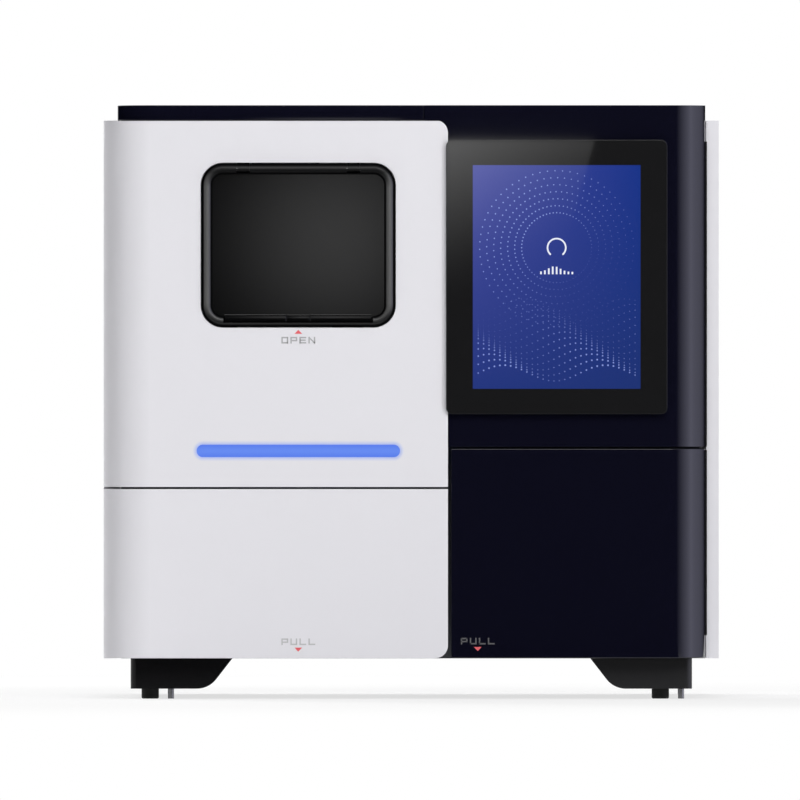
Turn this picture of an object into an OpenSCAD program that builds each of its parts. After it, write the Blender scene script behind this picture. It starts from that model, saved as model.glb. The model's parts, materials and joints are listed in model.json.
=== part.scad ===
// Benchtop sequencer: a two-tone case on four feet, with a flow cell door, a reagent drawer,
// a side-hung bottle door and a portrait touch screen, and the machine that they cover.
// X runs to the right, Y to the back and Z up; the origin is under the middle, on the bench.

/* [Overall] */
// Width over the two side panels
overall_w = 581; // [575:1:620]
// Depth from the screen glass to the rear spacers
overall_d = 620; // [610:1:680]
// Height from the bench to the top cover
overall_h = 560; // [556:1:600]
// Height of the body's underside above the bench
body_z = 38; // [34:1:44]

/* [Case] */
// How far the white side panels stand out past the dark core, each side
panel_proud = 13; // [10:1:16]
// How far the dark top rises above the white covers
top_rise = 14; // [12:1:20]
// Radius of the white cover's upright corner
white_corner_r = 44; // [38:1:48]
// Radius of the dark covers' upright corner
dark_corner_r = 38; // [34:1:40]
// Wall of the moulded covers
cover_t = 3; // [2:0.5:3]
// Right edge of the white covers
split_x = 34.5; // [32:0.5:36]
// Height of the seam between the upper cover and the drawer
drawer_seam_z = 199; // [196:1:202]
// Height of the seam above the bottle door
door_seam_z = 237; // [234:1:240]
// Width of the seams
seam = 2; // [1.5:0.1:2.5]

/* [Flow cell door] */
// Middle of the door, across
window_x = -106.6; // [-110:0.1:-104]
// Middle of the door, up
window_z = 428; // [424:1:432]
// Width over the door's bead
window_w = 182; // [176:1:186]
// Height over the door's bead
window_h = 153.5; // [150:0.5:156]
// Outer corner radius of the bead
window_r = 20; // [16:1:22]
// Diameter of the half-round bead
bead = 10; // [9:0.5:10.5]

/* [Screen] */
// Middle of the screen, across
screen_x = 137; // [135:0.5:140]
// Middle of the screen, up
screen_z = 398; // [395:1:402]
// Width of the glass
glass_w = 208.5; // [206:0.5:212]
// Height of the glass
glass_h = 258.5; // [254:0.5:262]
// Width of the 4:3 display held upright, 10.4 inches across its diagonal
display_w = 158.4; // [150:0.1:170]
// Height of that display
display_h = 211.2; // [200:0.1:220]

/* [Light bar] */
// Length of the light bar
light_w = 191.5; // [180:0.5:200]
// Height of the light bar
light_h = 11.5; // [10:0.5:14]
// Height of its middle above the bench
light_z = 234; // [230:1:240]

/* [Feet] */
// Height of the foot rails' underside above the bench
rail_z = 9.5; // [8:0.5:12]
// Outer edge of each foot rail, from the middle
rail_outer_x = 265; // [262:1:268]
// Top inner edge of each foot rail, from the middle
rail_inner_x = 169; // [160:1:175]
// Radius of a rubber foot
foot_r = 8.2; // [7:0.1:9]
// Radius of a levelling stud
stud_r = 2.9; // [2:0.1:3.5]

/* [Hidden] */
$fn = 64;

// Colours
white_paint = [0.87, 0.87, 0.89];
dark_paint = [0.05, 0.05, 0.10];
black_plastic = [0.10, 0.10, 0.10];
smoked = [0.14, 0.14, 0.15];
sheet_grey = [0.62, 0.63, 0.65];
frame_grey = [0.20, 0.21, 0.23];
bright_metal = [0.78, 0.79, 0.80];
light_blue = [0.38, 0.53, 0.94];
board_green = [0.05, 0.28, 0.16];
natural_plastic = [0.90, 0.91, 0.90];

// Faces of the case, from the driving dimensions
half_w = overall_w / 2;
core_x = half_w - panel_proud;
glass_y = -overall_d / 2;
white_y = glass_y + 5;
dark_y = white_y + 4;
rear_y = overall_d / 2 - 10;
white_top = overall_h - top_rise;
frame_y = dark_y + 43;       // front face of the front frame
panel_y = frame_y + 19;      // front edge of the side panels
sheet_t = 2;
flange = 12.5;               // width of the covers' inward flanges
post_r = 6;                  // posts that hold the covers off the frame and the walls
glass_t = 3;
base_top = body_z + 3;
top_seam_x = 12.4;           // where the dark top meets the upper right cover
wall_x = core_x - 5.5;       // inner face of the side walls
partition_x = 33;            // left face of the wall between the two bays
jamb_x = core_x - 22.5;      // left side of the bottle door's hinge recess
recess_y = frame_y + 15;     // back of that recess
lift = 0.5;                  // the drawer front and the bottle door clear the foot rails

// Drawer bay and bottle bay
shelf_z = drawer_seam_z - 3;
bottle_shelf_z = door_seam_z - 7;
tray_x = [-250, 12];
tray_y = [frame_y - 1, 107];
tray_z = base_top + 11;
slide_len = 366;
slide_y = frame_y + 4;
cartridge = [192, 170, 72];
cartridge_at = [-215, -110, tray_z + 4];
trough = [25, 154];
trough_count = 6;
trough_pitch = 30;
trough_x0 = cartridge_at.x + (cartridge.x - trough_pitch * (trough_count - 1)) / 2;
needle_y = [-76, 26];

// Hinge lines: the flow cell door turns about a line inside its top bead, the bottle door
// about an upright line inside its rounded corner
bead_r = bead / 2;
bead_y = white_y;
flow_hinge_y = bead_y - 2;
flow_hinge_z = window_z + window_h / 2 - bead_r;
flow_hinge_offset = 52;
flow_pin_r = 1.5;
door_hinge_at = [core_x - 8, frame_y - 2];
door_pin_r = 2;
door_hinge_z = [body_z + 24, door_seam_z - 40];
running = 0.06;              // radial clearance of a turning pin

// Stage stack in the flow cell bay
deck_z = 334;
stage_mid_x = -120;
stage_rail_x = [-180, -60];
stage_y_at = -155;           // middle of the carriage at the loading position
flow_cell_z = 380;

// Rear panel
fan_at = [[-140, 430], [150, 430]];
fan_r = 42;
fan_half = 46;
fan_hole = 41;               // fan's screw holes, out from its middle both ways
fan_y = [rear_y - 28, rear_y - sheet_t];
guard_eye_t = 1.5;
inlet_at = [215, 82];
switch_at = [215, 108];
module_at = [215, 93];       // middle of the inlet and switch module
usb_at = [[195, 178], [195, 196]];
network_at = [226, 187];
usb_shell = [16, 9];
network_shell = [19, 17];
rear_screw_at = [for (x = [-262, -90, 90, 262], z = [56, 532]) [x, z]];
fan_screw_at = [for (p = fan_at, a = [-1, 1], b = [-1, 1]) p + fan_hole * [a, b]];
base_screw_at = [for (x = [-130, 0, 130], y = [-200, 40, 270]) [x, y]];
base_sink = 2;               // their heads lie flush in the base plate

// Feet stand in the same order under each rail: a rubber foot, then a stud to its right
foot_x = [-246.6, 235.2];
foot_y = [-250, 250];
rear_step = 3.5;
// the rear pair stands a little further apart
foot_places = [for (x = foot_x, y = foot_y) [x + (y > 0 ? sign(x) * rear_step : 0), y]];
stud_step = 19.6;

// ---------------------------------------------------------------- helpers

// Block between two opposite corners
module block(lo, hi) {
    translate(lo) cube(hi - lo);
}

// Rectangle with its lower left corner at the origin and a radius of its own at each corner,
// listed counterclockwise from the lower left one
module corner_rect(w, h, radii) {
    at = [[0, 0], [w, 0], [w, h], [0, h]];
    inward = [[1, 1], [-1, 1], [-1, -1], [1, -1]];
    difference() {
        square([w, h]);
        for (i = [0:3])
            if (radii[i] > 0)
                spandrel(at[i].x, at[i].y, radii[i], inward[i].x, inward[i].y);
    }
}

// Rounded rectangle about the origin
module rounded_rect(w, h, r) {
    translate([-w / 2, -h / 2]) corner_rect(w, h, [r, r, r, r]);
}

// Raises a drawing of the X-Z plane along Y
module along_y(y0, y1) {
    translate([0, y1, 0]) rotate([90, 0, 0]) linear_extrude(y1 - y0) children();
}

// Raises a drawing of the Y-Z plane along X
module along_x(x0, x1) {
    translate([x0, 0, 0]) rotate([90, 0, 90]) linear_extrude(x1 - x0) children();
}

// Raises a drawing of the X-Y plane along Z
module along_z(z0, z1) {
    translate([0, 0, z0]) linear_extrude(z1 - z0) children();
}

module rod_x(r, x0, x1, y, z) {
    translate([x0, y, z]) rotate([0, 90, 0]) cylinder(r = r, h = x1 - x0);
}

module rod_y(r, y0, y1, x, z) {
    translate([x, y1, z]) rotate([90, 0, 0]) cylinder(r = r, h = y1 - y0);
}

module rod_z(r, z0, z1, x, y) {
    translate([x, y, z0]) cylinder(r = r, h = z1 - z0);
}

// What rounding off the corner at (x, z) takes away; sx and sz point into the material
module spandrel(x, z, r, sx, sz) {
    difference() {
        translate([x + (sx > 0 ? -1 : -r), z + (sz > 0 ? -1 : -r)]) square(r + 1);
        translate([x + sx * r, z + sz * r]) circle(r);
    }
}

// Plan of a wall that runs along the front, round the right-hand corner and back
module wrap_plan(x_free, x_side, y_front, y_back, r, t) {
    difference() {
        translate([x_free, y_front])
            corner_rect(x_side - x_free, y_back - y_front, [0, r, 0, 0]);
        translate([x_free - 1, y_front + t])
            corner_rect(x_side - t - x_free + 1, y_back - y_front, [0, max(r - t, 1), 0, 0]);
    }
}

// Sweeps a section round a rounded rectangle of the X-Z plane. The section is drawn with its
// X pointing out of the rectangle, from the path, and its Y along the frame's Y.
module ring_sweep(w, h, r) {
    for (side = [0:3]) {
        odd = side % 2;
        run = (odd == 0 ? w : h) - 2 * r;
        reach = (odd == 0 ? h : w) / 2;
        rotate([0, 90 * side, 0]) {
            translate([-run / 2, 0, reach]) rotate([90, 0, 90])
                linear_extrude(run) mirror([1, 0]) rotate(90) children();
            translate([run / 2, 0, reach - r]) rotate([90, 0, 0])
                rotate_extrude(angle = 90) translate([r, 0]) mirror([0, 1]) children();
        }
    }
}

// Slot with round ends, lying along the drawing's X
module slot(length, width) {
    square([length - width, width], center = true);
    for (s = [-1, 1]) translate([s * (length - width) / 2, 0]) circle(width / 2);
}

// Button-head screw on the origin, its head towards +Z
module screw(head_r = 3.5, head_h = 2, shank_r = 2, shank = 5) {
    difference() {
        union() {
            cylinder(r = head_r, h = head_h);
            translate([0, 0, -shank]) cylinder(r = shank_r, h = shank);
        }
        translate([0, 0, head_h - 1.2]) cylinder(r = 1.7, h = 2, $fn = 6);
    }
}

// ---------------------------------------------------------------- feet and frame

module base_plate() {
    slot_count = 9;
    slot_pitch = 14;
    color(sheet_grey) difference() {
        block([-core_x + 3.5, frame_y + 3, body_z], [core_x - 3.5, rear_y, base_top]);
        // room for the bottle door's hinge edge
        block([jamb_x, frame_y, body_z - 1], [core_x, recess_y + sheet_t, base_top + 1]);
        for (i = [0:slot_count - 1])
            along_z(body_z - 1, base_top + 1)
                translate([-120, 130 + i * slot_pitch]) slot(150, 5);
        for (p = base_screw_at) {
            rod_z(2.2, body_z - 1, base_top + 1, p.x, p.y);
            rod_z(3.7, body_z - 1, body_z + base_sink, p.x, p.y);
        }
    }
}

// Section of a foot rail: upright outside, sloping inside and rounded into its underside
module rail_section() {
    slope = [0.613, 0.79];
    blend_r = 23;
    height = body_z - rail_z;
    corner_x = rail_inner_x + slope.x / slope.y * height;
    run = blend_r * tan(acos(slope.x) / 2);
    intersection() {
        union() {
            polygon([[rail_outer_x, rail_z], [corner_x + run, rail_z],
                [corner_x - slope.x * run, rail_z + slope.y * run],
                [rail_inner_x, body_z], [rail_outer_x, body_z]]);
            translate([corner_x + run, rail_z + blend_r]) circle(blend_r);
        }
        translate([rail_inner_x - 1, rail_z])
            square([rail_outer_x - rail_inner_x + 1, height]);
    }
}

module foot_rails() {
    end_y = 276;
    edge_r = 7;
    color(black_plastic)
    for (s = [0, 1]) mirror([s, 0, 0])
        intersection() {
            along_y(-end_y, end_y) rail_section();
            along_z(0, body_z)
                translate([rail_inner_x - 5, -end_y])
                    corner_rect(rail_outer_x - rail_inner_x + 5, 2 * end_y, [0, edge_r, edge_r, 0]);
        }
}

module rubber_feet() {
    edge = 1;
    color(black_plastic)
    for (at = foot_places) translate([at.x, at.y, 0]) {
        cylinder(r1 = foot_r - edge, r2 = foot_r, h = edge);
        translate([0, 0, edge]) cylinder(r = foot_r, h = rail_z - edge);
    }
}

module levelling_studs() {
    color(bright_metal)
    for (at = foot_places) rod_z(stud_r, 0, rail_z, at.x + stud_step, at.y);
}

// Upright sheet behind the covers, with an opening for each bay and a recess for the bottle
// door's hinges
module front_frame() {
    color(frame_grey) {
        difference() {
            union() {
                block([-core_x + 3.5, frame_y, body_z], [jamb_x + 2, frame_y + 3, white_top - 3]);
                block([jamb_x, frame_y, door_seam_z - 1], [core_x - 5.5, frame_y + 3, white_top - 3]);
            }
            along_y(frame_y - 1, frame_y + 4) {
                translate([window_x, window_z]) rounded_rect(window_w, window_h + 2, 12);
                translate([-119, 119]) rounded_rect(280, 142, 4);
                translate([149, 138]) rounded_rect(202, 176, 8);
                translate([screen_x, screen_z + 2]) rounded_rect(150, 200, 8);
            }
        }
        block([jamb_x, frame_y + 3, body_z], [jamb_x + 2, recess_y, door_seam_z - 1]);
        block([jamb_x, recess_y, body_z], [core_x, recess_y + 2, door_seam_z - 1]);
        block([core_x - cover_t, recess_y - 6, body_z], [core_x, recess_y + 1, door_seam_z - 1]);
        block([jamb_x, frame_y + 3, door_seam_z - 1], [core_x - 5.5, recess_y + 2, door_seam_z + 1]);
    }
}

// Two side walls, each with an air window, and the partition between the bays
module inner_walls() {
    window_lo = [80, 98];
    window_hi = [262, 296];
    cable_hole_r = 16;
    color(sheet_grey) {
        for (s = [0, 1]) mirror([s, 0, 0]) difference() {
            block([wall_x, panel_y + 10, base_top], [wall_x + sheet_t, rear_y - sheet_t, white_top - 1]);
            block([wall_x - 1, window_lo.x, window_lo.y],
                [wall_x + sheet_t + 1, window_hi.x, window_hi.y]);
        }
        difference() {
            block([partition_x, frame_y + 3, base_top],
                [partition_x + sheet_t, rear_y - sheet_t, white_top - 1]);
            rod_x(cable_hole_r, partition_x - 1, partition_x + sheet_t + 1, 170, 300);
        }
    }
}

module bay_shelves() {
    sipper_way = [[-222, -98], [-16, 46]];
    color(sheet_grey) {
        difference() {
            block([-wall_x, frame_y + 3, shelf_z],
                [partition_x, rear_y - sheet_t, shelf_z + sheet_t]);
            block([sipper_way[0].x, sipper_way[0].y, shelf_z - 1],
                [sipper_way[1].x, sipper_way[1].y, shelf_z + sheet_t + 1]);
        }
        block([partition_x + sheet_t, frame_y + 3, bottle_shelf_z],
            [jamb_x - 1, rear_y - sheet_t, bottle_shelf_z + sheet_t]);
    }
}

module rear_panel() {
    vent_rows = 10;
    color(sheet_grey) difference() {
        block([-core_x + 0.5, rear_y - sheet_t, base_top], [core_x - 0.5, rear_y, white_top]);
        for (p = fan_at) rod_y(fan_r + 1, rear_y - 5, rear_y + 1, p.x, p.y);
        for (p = fan_screw_at) rod_y(2.2, rear_y - 5, rear_y + 1, p.x, p.y);
        for (i = [0:vent_rows - 1]) along_y(rear_y - 5, rear_y + 1)
            translate([-140, 95 + i * 13]) slot(170, 5);
        along_y(rear_y - 5, rear_y + 1) {
            translate(module_at) square([28.4, 50.4], center = true);
            for (p = usb_at) translate(p) square(usb_shell + [0.4, 0.4], center = true);
            translate(network_at) square(network_shell + [0.4, 0.4], center = true);
        }
        for (p = rear_screw_at) rod_y(2.2, rear_y - 5, rear_y + 1, p.x, p.y);
    }
}

module rear_spacers() {
    color(black_plastic)
    for (x = [-250, 250], z = [120, 480]) rod_y(12, rear_y, overall_d / 2, x, z);
}

// ---------------------------------------------------------------- covers

// Shallow tray with vent slots, on posts that reach in to the side wall
module side_panel() {
    skin = 2.5;
    rows = 16;
    vent_pitch = 12;
    post_at = [for (y = [-200, 284], z = [64, 520]) [y, z]];
    for (p = post_at) rod_x(post_r, wall_x + sheet_t, half_w - skin + 1, p.x, p.y);
    difference() {
        block([core_x + 1, panel_y, body_z], [half_w, rear_y, white_top]);
        block([core_x, panel_y + skin, body_z + skin],
            [half_w - skin, rear_y - skin, white_top - skin]);
        for (i = [0:rows - 1]) along_x(half_w - skin - 1, half_w + 1)
            translate([171, 104 + i * vent_pitch]) slot(160, 4.5);
    }
}

module left_side_panel() {
    color(white_paint) mirror([1, 0, 0]) side_panel();
}

module right_side_panel() {
    color(white_paint) side_panel();
}

module top_cover() {
    radii = [dark_corner_r, dark_corner_r, 6, 6];
    plate = 3;
    color(dark_paint) difference() {
        along_z(white_top, overall_h)
            translate([-core_x, dark_y]) corner_rect(2 * core_x, rear_y - dark_y, radii);
        along_z(white_top - 1, overall_h - plate)
            translate([-core_x + plate, dark_y + plate])
                corner_rect(2 * (core_x - plate), rear_y - dark_y - 2 * plate,
                    [dark_corner_r - plate, dark_corner_r - plate, 3, 3]);
        // the upper right cover's edge comes up through here
        along_z(white_top - 1, overall_h + 1)
            wrap_plan(top_seam_x - 0.8, core_x + 1, dark_y - 1, panel_y + 9,
                dark_corner_r + 1, cover_t + 2);
    }
}

// Wall, top and bottom flange of a white front cover, mirrored so that it wraps to the left
module white_wrap(z0, z1) {
    mirror([1, 0, 0]) {
        along_z(z0, z1)
            wrap_plan(-split_x, half_w, white_y, panel_y - 1, white_corner_r, cover_t);
        for (z = [z0, z1 - cover_t])
            along_z(z, z + cover_t)
                wrap_plan(-split_x, half_w, white_y, panel_y - 1, white_corner_r, flange);
    }
}

module upper_left_cover() {
    z0 = drawer_seam_z + seam / 2;
    clearance = 1;
    post_at = [for (x = [-250, 4], z = [216, 525]) [x, z]];
    color(white_paint) for (p = post_at) rod_y(post_r, white_y + cover_t - 1, frame_y, p.x, p.y);
    color(white_paint) difference() {
        white_wrap(z0, white_top);
        // the dark cover's edge passes behind this corner
        block([top_seam_x - 1, dark_y - 0.7, white_top - cover_t - 1],
            [split_x + 1, dark_y + flange, white_top + 1]);
        along_y(white_y - 1, white_y + flange + 1)
            spandrel(split_x, white_top, 12, -1, -1);
        along_y(white_y - 1, white_y + cover_t + 1) {
            translate([window_x, window_z])
                rounded_rect(window_w + 2 * clearance, window_h + 2 * clearance, window_r + clearance);
            translate([window_x, light_z]) slot(light_w + 0.4, light_h + 0.4);
        }
    }
}

module drawer_front() {
    z1 = drawer_seam_z - seam / 2;
    color(white_paint) difference() {
        white_wrap(body_z + lift, z1);
        along_y(white_y - 1, white_y + flange + 1)
            spandrel(split_x, body_z + lift, 12, -1, 1);
    }
}

module upper_right_cover() {
    z0 = door_seam_z + seam / 2;
    back_y = panel_y + 8;
    post_at = [for (x = [46, 236], z = [262, 530]) [x, z]];
    color(dark_paint) for (p = post_at) rod_y(post_r, dark_y + cover_t - 1, frame_y, p.x, p.y);
    color(dark_paint) difference() {
        union() {
            along_z(z0, overall_h)
                wrap_plan(top_seam_x, core_x, dark_y, back_y, dark_corner_r, cover_t);
            along_z(z0, z0 + cover_t)
                wrap_plan(top_seam_x, core_x, dark_y, frame_y, dark_corner_r, flange);
        }
        along_y(dark_y - 1, dark_y + cover_t + 1)
            translate([screen_x, screen_z]) rounded_rect(187, 237, 4);
    }
}

module light_bar() {
    color(light_blue) {
        along_y(white_y - 0.3, white_y + cover_t)
            translate([window_x, light_z]) slot(light_w, light_h);
        along_y(white_y + cover_t, white_y + cover_t + 4)
            translate([window_x, light_z]) rounded_rect(light_w + 12, light_h + 8, 3);
    }
}

// ---------------------------------------------------------------- screen

module screen_glass() {
    color(black_plastic)
    along_y(glass_y, glass_y + glass_t)
        translate([screen_x, screen_z]) rounded_rect(glass_w, glass_h, 6);
}

module screen_panel() {
    color(light_blue)
    along_y(glass_y + glass_t, dark_y - 1.5)
        translate([screen_x, screen_z]) square([display_w, display_h], center = true);
}

// Shallow rim under the glass, and a deeper box that passes through the cover
module screen_housing() {
    rim = 3.5;
    depth = 26;
    color(black_plastic) difference() {
        union() {
            along_y(glass_y + glass_t, dark_y)
                translate([screen_x, screen_z])
                    rounded_rect(glass_w - 2 * rim, glass_h - 2 * rim, 4);
            along_y(dark_y, dark_y + depth)
                translate([screen_x, screen_z]) rounded_rect(186, 236, 4);
        }
        along_y(glass_y + glass_t - 1, dark_y - 1.5)
            translate([screen_x, screen_z])
                square([display_w + 0.4, display_h + 0.4], center = true);
        for (i = [0:7]) along_y(dark_y + depth - 3, dark_y + depth + 1)
            translate([screen_x, screen_z - 70 + 20 * i]) slot(110, 5);
    }
}

// ---------------------------------------------------------------- flow cell door

frame_back = bead_y + 9.5;
pane_y = [frame_back - 4.5, frame_back - 1.5];
grip_x = [-176.6, -37];
grip_z = [355.6, 362.8];
button_x = [-117.8, -95.8];
outline_gap = 0.8;

// Half-round bead in front of a square body, with a rebate for the pane behind, and a gap in
// the top bar for each hinge knuckle
module flow_door_frame() {
    path_w = window_w - bead;
    path_h = window_h - bead;
    knuckle_gap = 12;
    lip = 1.4;
    color(black_plastic) difference() {
        translate([window_x, 0, window_z]) ring_sweep(path_w, path_h, window_r - bead_r) {
            translate([0, bead_y]) intersection() {
                circle(bead_r);
                translate([-bead_r, -bead_r]) square([bead, bead_r]);
            }
            translate([-bead_r, bead_y]) square([bead, pane_y[0] - bead_y]);
            translate([-bead_r + 2, pane_y[0]]) square([bead - 2, frame_back - pane_y[0]]);
        }
        // notch for the grip
        block([grip_x[0] - outline_gap, bead_y - bead, grip_z[0] - outline_gap],
            [grip_x[1] + outline_gap, pane_y[0], grip_z[1] + 1]);
        for (s = [-1, 1]) translate([window_x + s * flow_hinge_offset, 0, 0]) {
            block([-knuckle_gap / 2, bead_y - bead, flow_hinge_z - bead_r + lip],
                [knuckle_gap / 2, frame_back + 1, flow_hinge_z + bead]);
            rod_x(flow_pin_r + running, -17, 17, flow_hinge_y, flow_hinge_z);
        }
    }
}

module flow_door_window() {
    color(smoked)
    along_y(pane_y[0], pane_y[1])
        translate([window_x, window_z])
            rounded_rect(window_w - 2 * bead + 3.6, window_h - 2 * bead + 3.6, window_r - bead + 1.8);
}

module flow_door_grip() {
    slack = 0.3;
    color(black_plastic) difference() {
        block([grip_x[0], bead_y - 1.5, grip_z[0]], [grip_x[1], pane_y[0], grip_z[1]]);
        block([button_x[0] - slack, bead_y - 3, grip_z[0] - 1],
            [button_x[1] + slack, pane_y[0] + 1, grip_z[1] + 1]);
    }
}

module flow_door_button() {
    travel = 2;
    color(black_plastic)
    block([button_x[0], bead_y - 1.2, grip_z[0] + 0.2],
        [button_x[1], pane_y[0] - travel - 0.2, grip_z[1] - 0.2]);
}

// ---------------------------------------------------------------- hinges

// Two knuckles in the line of the flow cell door's bead, each on a swan neck behind the cover,
// and two ears that carry the bottle door
module hinge_brackets() {
    knuckle_half = 5.5;
    foot_half = 13;
    arm = 2;
    back_y = white_y + cover_t + 8;
    foot_z = flow_hinge_z + 8;
    ear_r = 4.2;
    ear_t = 4;
    ear_y = door_hinge_at.y;
    color(frame_grey) {
        for (s = [-1, 1]) translate([window_x + s * flow_hinge_offset, 0, 0]) difference() {
            union() {
                rod_x(bead_r, -knuckle_half, knuckle_half, bead_y, flow_hinge_z);
                block([-knuckle_half, bead_y, flow_hinge_z - arm],
                    [knuckle_half, back_y, flow_hinge_z + arm]);
                block([-knuckle_half, white_y + cover_t, flow_hinge_z - arm],
                    [knuckle_half, back_y, foot_z]);
                block([-foot_half, white_y + cover_t, foot_z], [foot_half, back_y, foot_z + 22]);
            }
            block([-foot_half, bead_y - bead, flow_hinge_z - bead],
                [foot_half, back_y + 1, flow_hinge_z - arm]);
            rod_x(flow_pin_r, -foot_half, foot_half, flow_hinge_y, flow_hinge_z);
        }
        for (z = door_hinge_z) difference() {
            union() {
                rod_z(ear_r, z, z + ear_t, door_hinge_at.x, ear_y);
                block([jamb_x + sheet_t, ear_y - ear_r, z], [door_hinge_at.x, ear_y + arm, z + ear_t]);
                block([jamb_x - 6, ear_y - ear_r, z - 4], [jamb_x + sheet_t, frame_y, z + ear_t + 8]);
            }
            rod_z(door_pin_r, z - 5, z + ear_t + 5, door_hinge_at.x, ear_y);
        }
    }
}

module hinge_pins() {
    color(bright_metal) {
        for (s = [-1, 1])
            rod_x(flow_pin_r, window_x + s * flow_hinge_offset - 16,
                window_x + s * flow_hinge_offset + 16, flow_hinge_y, flow_hinge_z);
        for (z = door_hinge_z)
            rod_z(door_pin_r, z - 2, z + 11, door_hinge_at.x, door_hinge_at.y);
    }
}

// ---------------------------------------------------------------- reagent drawer

module drawer_tray() {
    wall = 2;
    top = tray_z + 58;
    color(natural_plastic) {
        difference() {
            block([tray_x[0], tray_y[0], tray_z], [tray_x[1], tray_y[1], top]);
            block([tray_x[0] + wall, tray_y[0] + wall, tray_z + 4],
                [tray_x[1] - wall, tray_y[1] - wall, top + 1]);
        }
        // struts to the drawer front
        for (x = [-225, -31])
            block([x, white_y + cover_t, tray_z + 6], [x + 18, tray_y[0], top - 6]);
        // stops that locate the cartridge
        for (x = [cartridge_at.x - 6, cartridge_at.x + cartridge.x + 0.6])
            block([x, cartridge_at.y + 20, tray_z + 4],
                [x + 5.4, cartridge_at.y + cartridge.y - 20, tray_z + 16]);
    }
}

module reagent_cartridge() {
    skirt = 6;
    color(natural_plastic) difference() {
        union() {
            translate(cartridge_at) cube(cartridge);
            block(cartridge_at + [-skirt, -skirt, cartridge.z - 10],
                cartridge_at + [cartridge.x + skirt, cartridge.y + skirt, cartridge.z - 6]);
        }
        for (i = [0:trough_count - 1])
            along_z(cartridge_at.z + 4, cartridge_at.z + cartridge.z + 1)
                translate([trough_x0 + i * trough_pitch, cartridge_at.y + cartridge.y / 2])
                    rounded_rect(trough.x, trough.y, 4);
    }
}

// One member of each slide: x is its span on the left, counted out from the tray's side
module slide_pair(lo, hi, z0, z1) {
    mid = (tray_x[0] + tray_x[1]) / 2;
    half = (tray_x[1] - tray_x[0]) / 2;
    for (s = [-1, 1])
        block([mid + (s > 0 ? half + lo : -half - hi), slide_y, z0],
            [mid + (s > 0 ? half + hi : -half - lo), slide_y + slide_len, z1]);
}

module slide_rails_inner() {
    color(bright_metal) slide_pair(0, 4.5, tray_z + 20, tray_z + 38);
}

module slide_rails_middle() {
    color(bright_metal) slide_pair(4.8, 8.2, tray_z + 17, tray_z + 41);
}

module slide_rails_fixed() {
    bracket_y = [-225, -60, 80];
    color(bright_metal) {
        slide_pair(8.5, 12.5, tray_z + 14, tray_z + 44);
        for (y = bracket_y) {
            block([tray_x[1] + 12.5, y, tray_z + 16], [partition_x, y + 25, tray_z + 42]);
            block([-wall_x, y, tray_z + 16], [tray_x[0] - 12.5, y + 25, tray_z + 42]);
        }
    }
}

// Cold plate under the drawer and a finned heat sink behind it
module chiller() {
    fin_count = 12;
    fin_pitch = 14;
    color(bright_metal) {
        block([-215, -115, base_top], [-23, 200, base_top + 8]);
        difference() {
            block([-205, 125, base_top + 8], [-33, 250, 150]);
            for (i = [0:fin_count - 1])
                block([-200 + i * fin_pitch, 120, base_top + 16], [-191 + i * fin_pitch, 260, 151]);
        }
    }
}

// ---------------------------------------------------------------- bottle door and bay

door_x = [split_x + 3, core_x];
door_back_y = recess_y - 9;

module bottle_door() {
    z1 = door_seam_z - seam / 2;
    color(dark_paint) {
        along_z(body_z + lift, z1)
            wrap_plan(door_x[0], door_x[1], dark_y, door_back_y, dark_corner_r, cover_t);
        for (z = [body_z + lift, z1 - cover_t]) along_z(z, z + cover_t)
            wrap_plan(door_x[0], door_x[1], dark_y, door_back_y, dark_corner_r, flange);
    }
}

// Ribbed inner moulding, with an arm out to each hinge pin
module bottle_door_liner() {
    x0 = door_x[0] + 14;
    x1 = core_x - dark_corner_r - 1;
    z0 = body_z + 14;
    z1 = door_seam_z - 15;
    back = dark_y + cover_t + 8;
    pocket = [38, 45];
    ear_r = 4.2;
    ear_t = 4;
    color(frame_grey) {
        difference() {
            block([x0, dark_y + cover_t, z0], [x1, back, z1]);
            for (i = [0:3])
                block([x0 + 6 + i * pocket[1], back - 5, z0 + 8],
                    [x0 + 6 + i * pocket[1] + pocket[0], back + 1, z1 - 8]);
        }
        for (z = door_hinge_z) translate([0, 0, z + ear_t + 0.4]) difference() {
            union() {
                rod_z(ear_r, 0, ear_t, door_hinge_at.x, door_hinge_at.y);
                block([door_hinge_at.x - ear_r, back - 2, 0],
                    [door_hinge_at.x + ear_r, door_hinge_at.y, ear_t]);
                block([x1 - 5, dark_y + cover_t + 0.5, 0],
                    [door_hinge_at.x + ear_r, back + 10, ear_t]);
            }
            rod_z(door_pin_r + running, -1, ear_t + 1, door_hinge_at.x, door_hinge_at.y);
            // stays inside the door's curved wall
            translate([0, 0, -1]) linear_extrude(ear_t + 2)
                wrap_plan(door_x[0] - 1, door_x[1] + 20, dark_y - 20, door_back_y + 20,
                    dark_corner_r + 20, cover_t + 20.5);
        }
    }
}

bay_floor_z = base_top + 4;
waste_at = [58, -232];
waste_size = [92, 150, 150];
buffer_at = [205, -160];
buffer_r = 44;
neck_r = 17;

// Drip tray that the bottles stand in
module bottle_tray() {
    wall = 2.5;
    x0 = 50;
    x1 = 252;
    y0 = frame_y + 10;
    y1 = 0;
    color(natural_plastic) difference() {
        block([x0, y0, base_top], [x1, y1, base_top + 28]);
        block([x0 + wall, y0 + wall, bay_floor_z], [x1 - wall, y1 - wall, base_top + 29]);
    }
}

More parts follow.
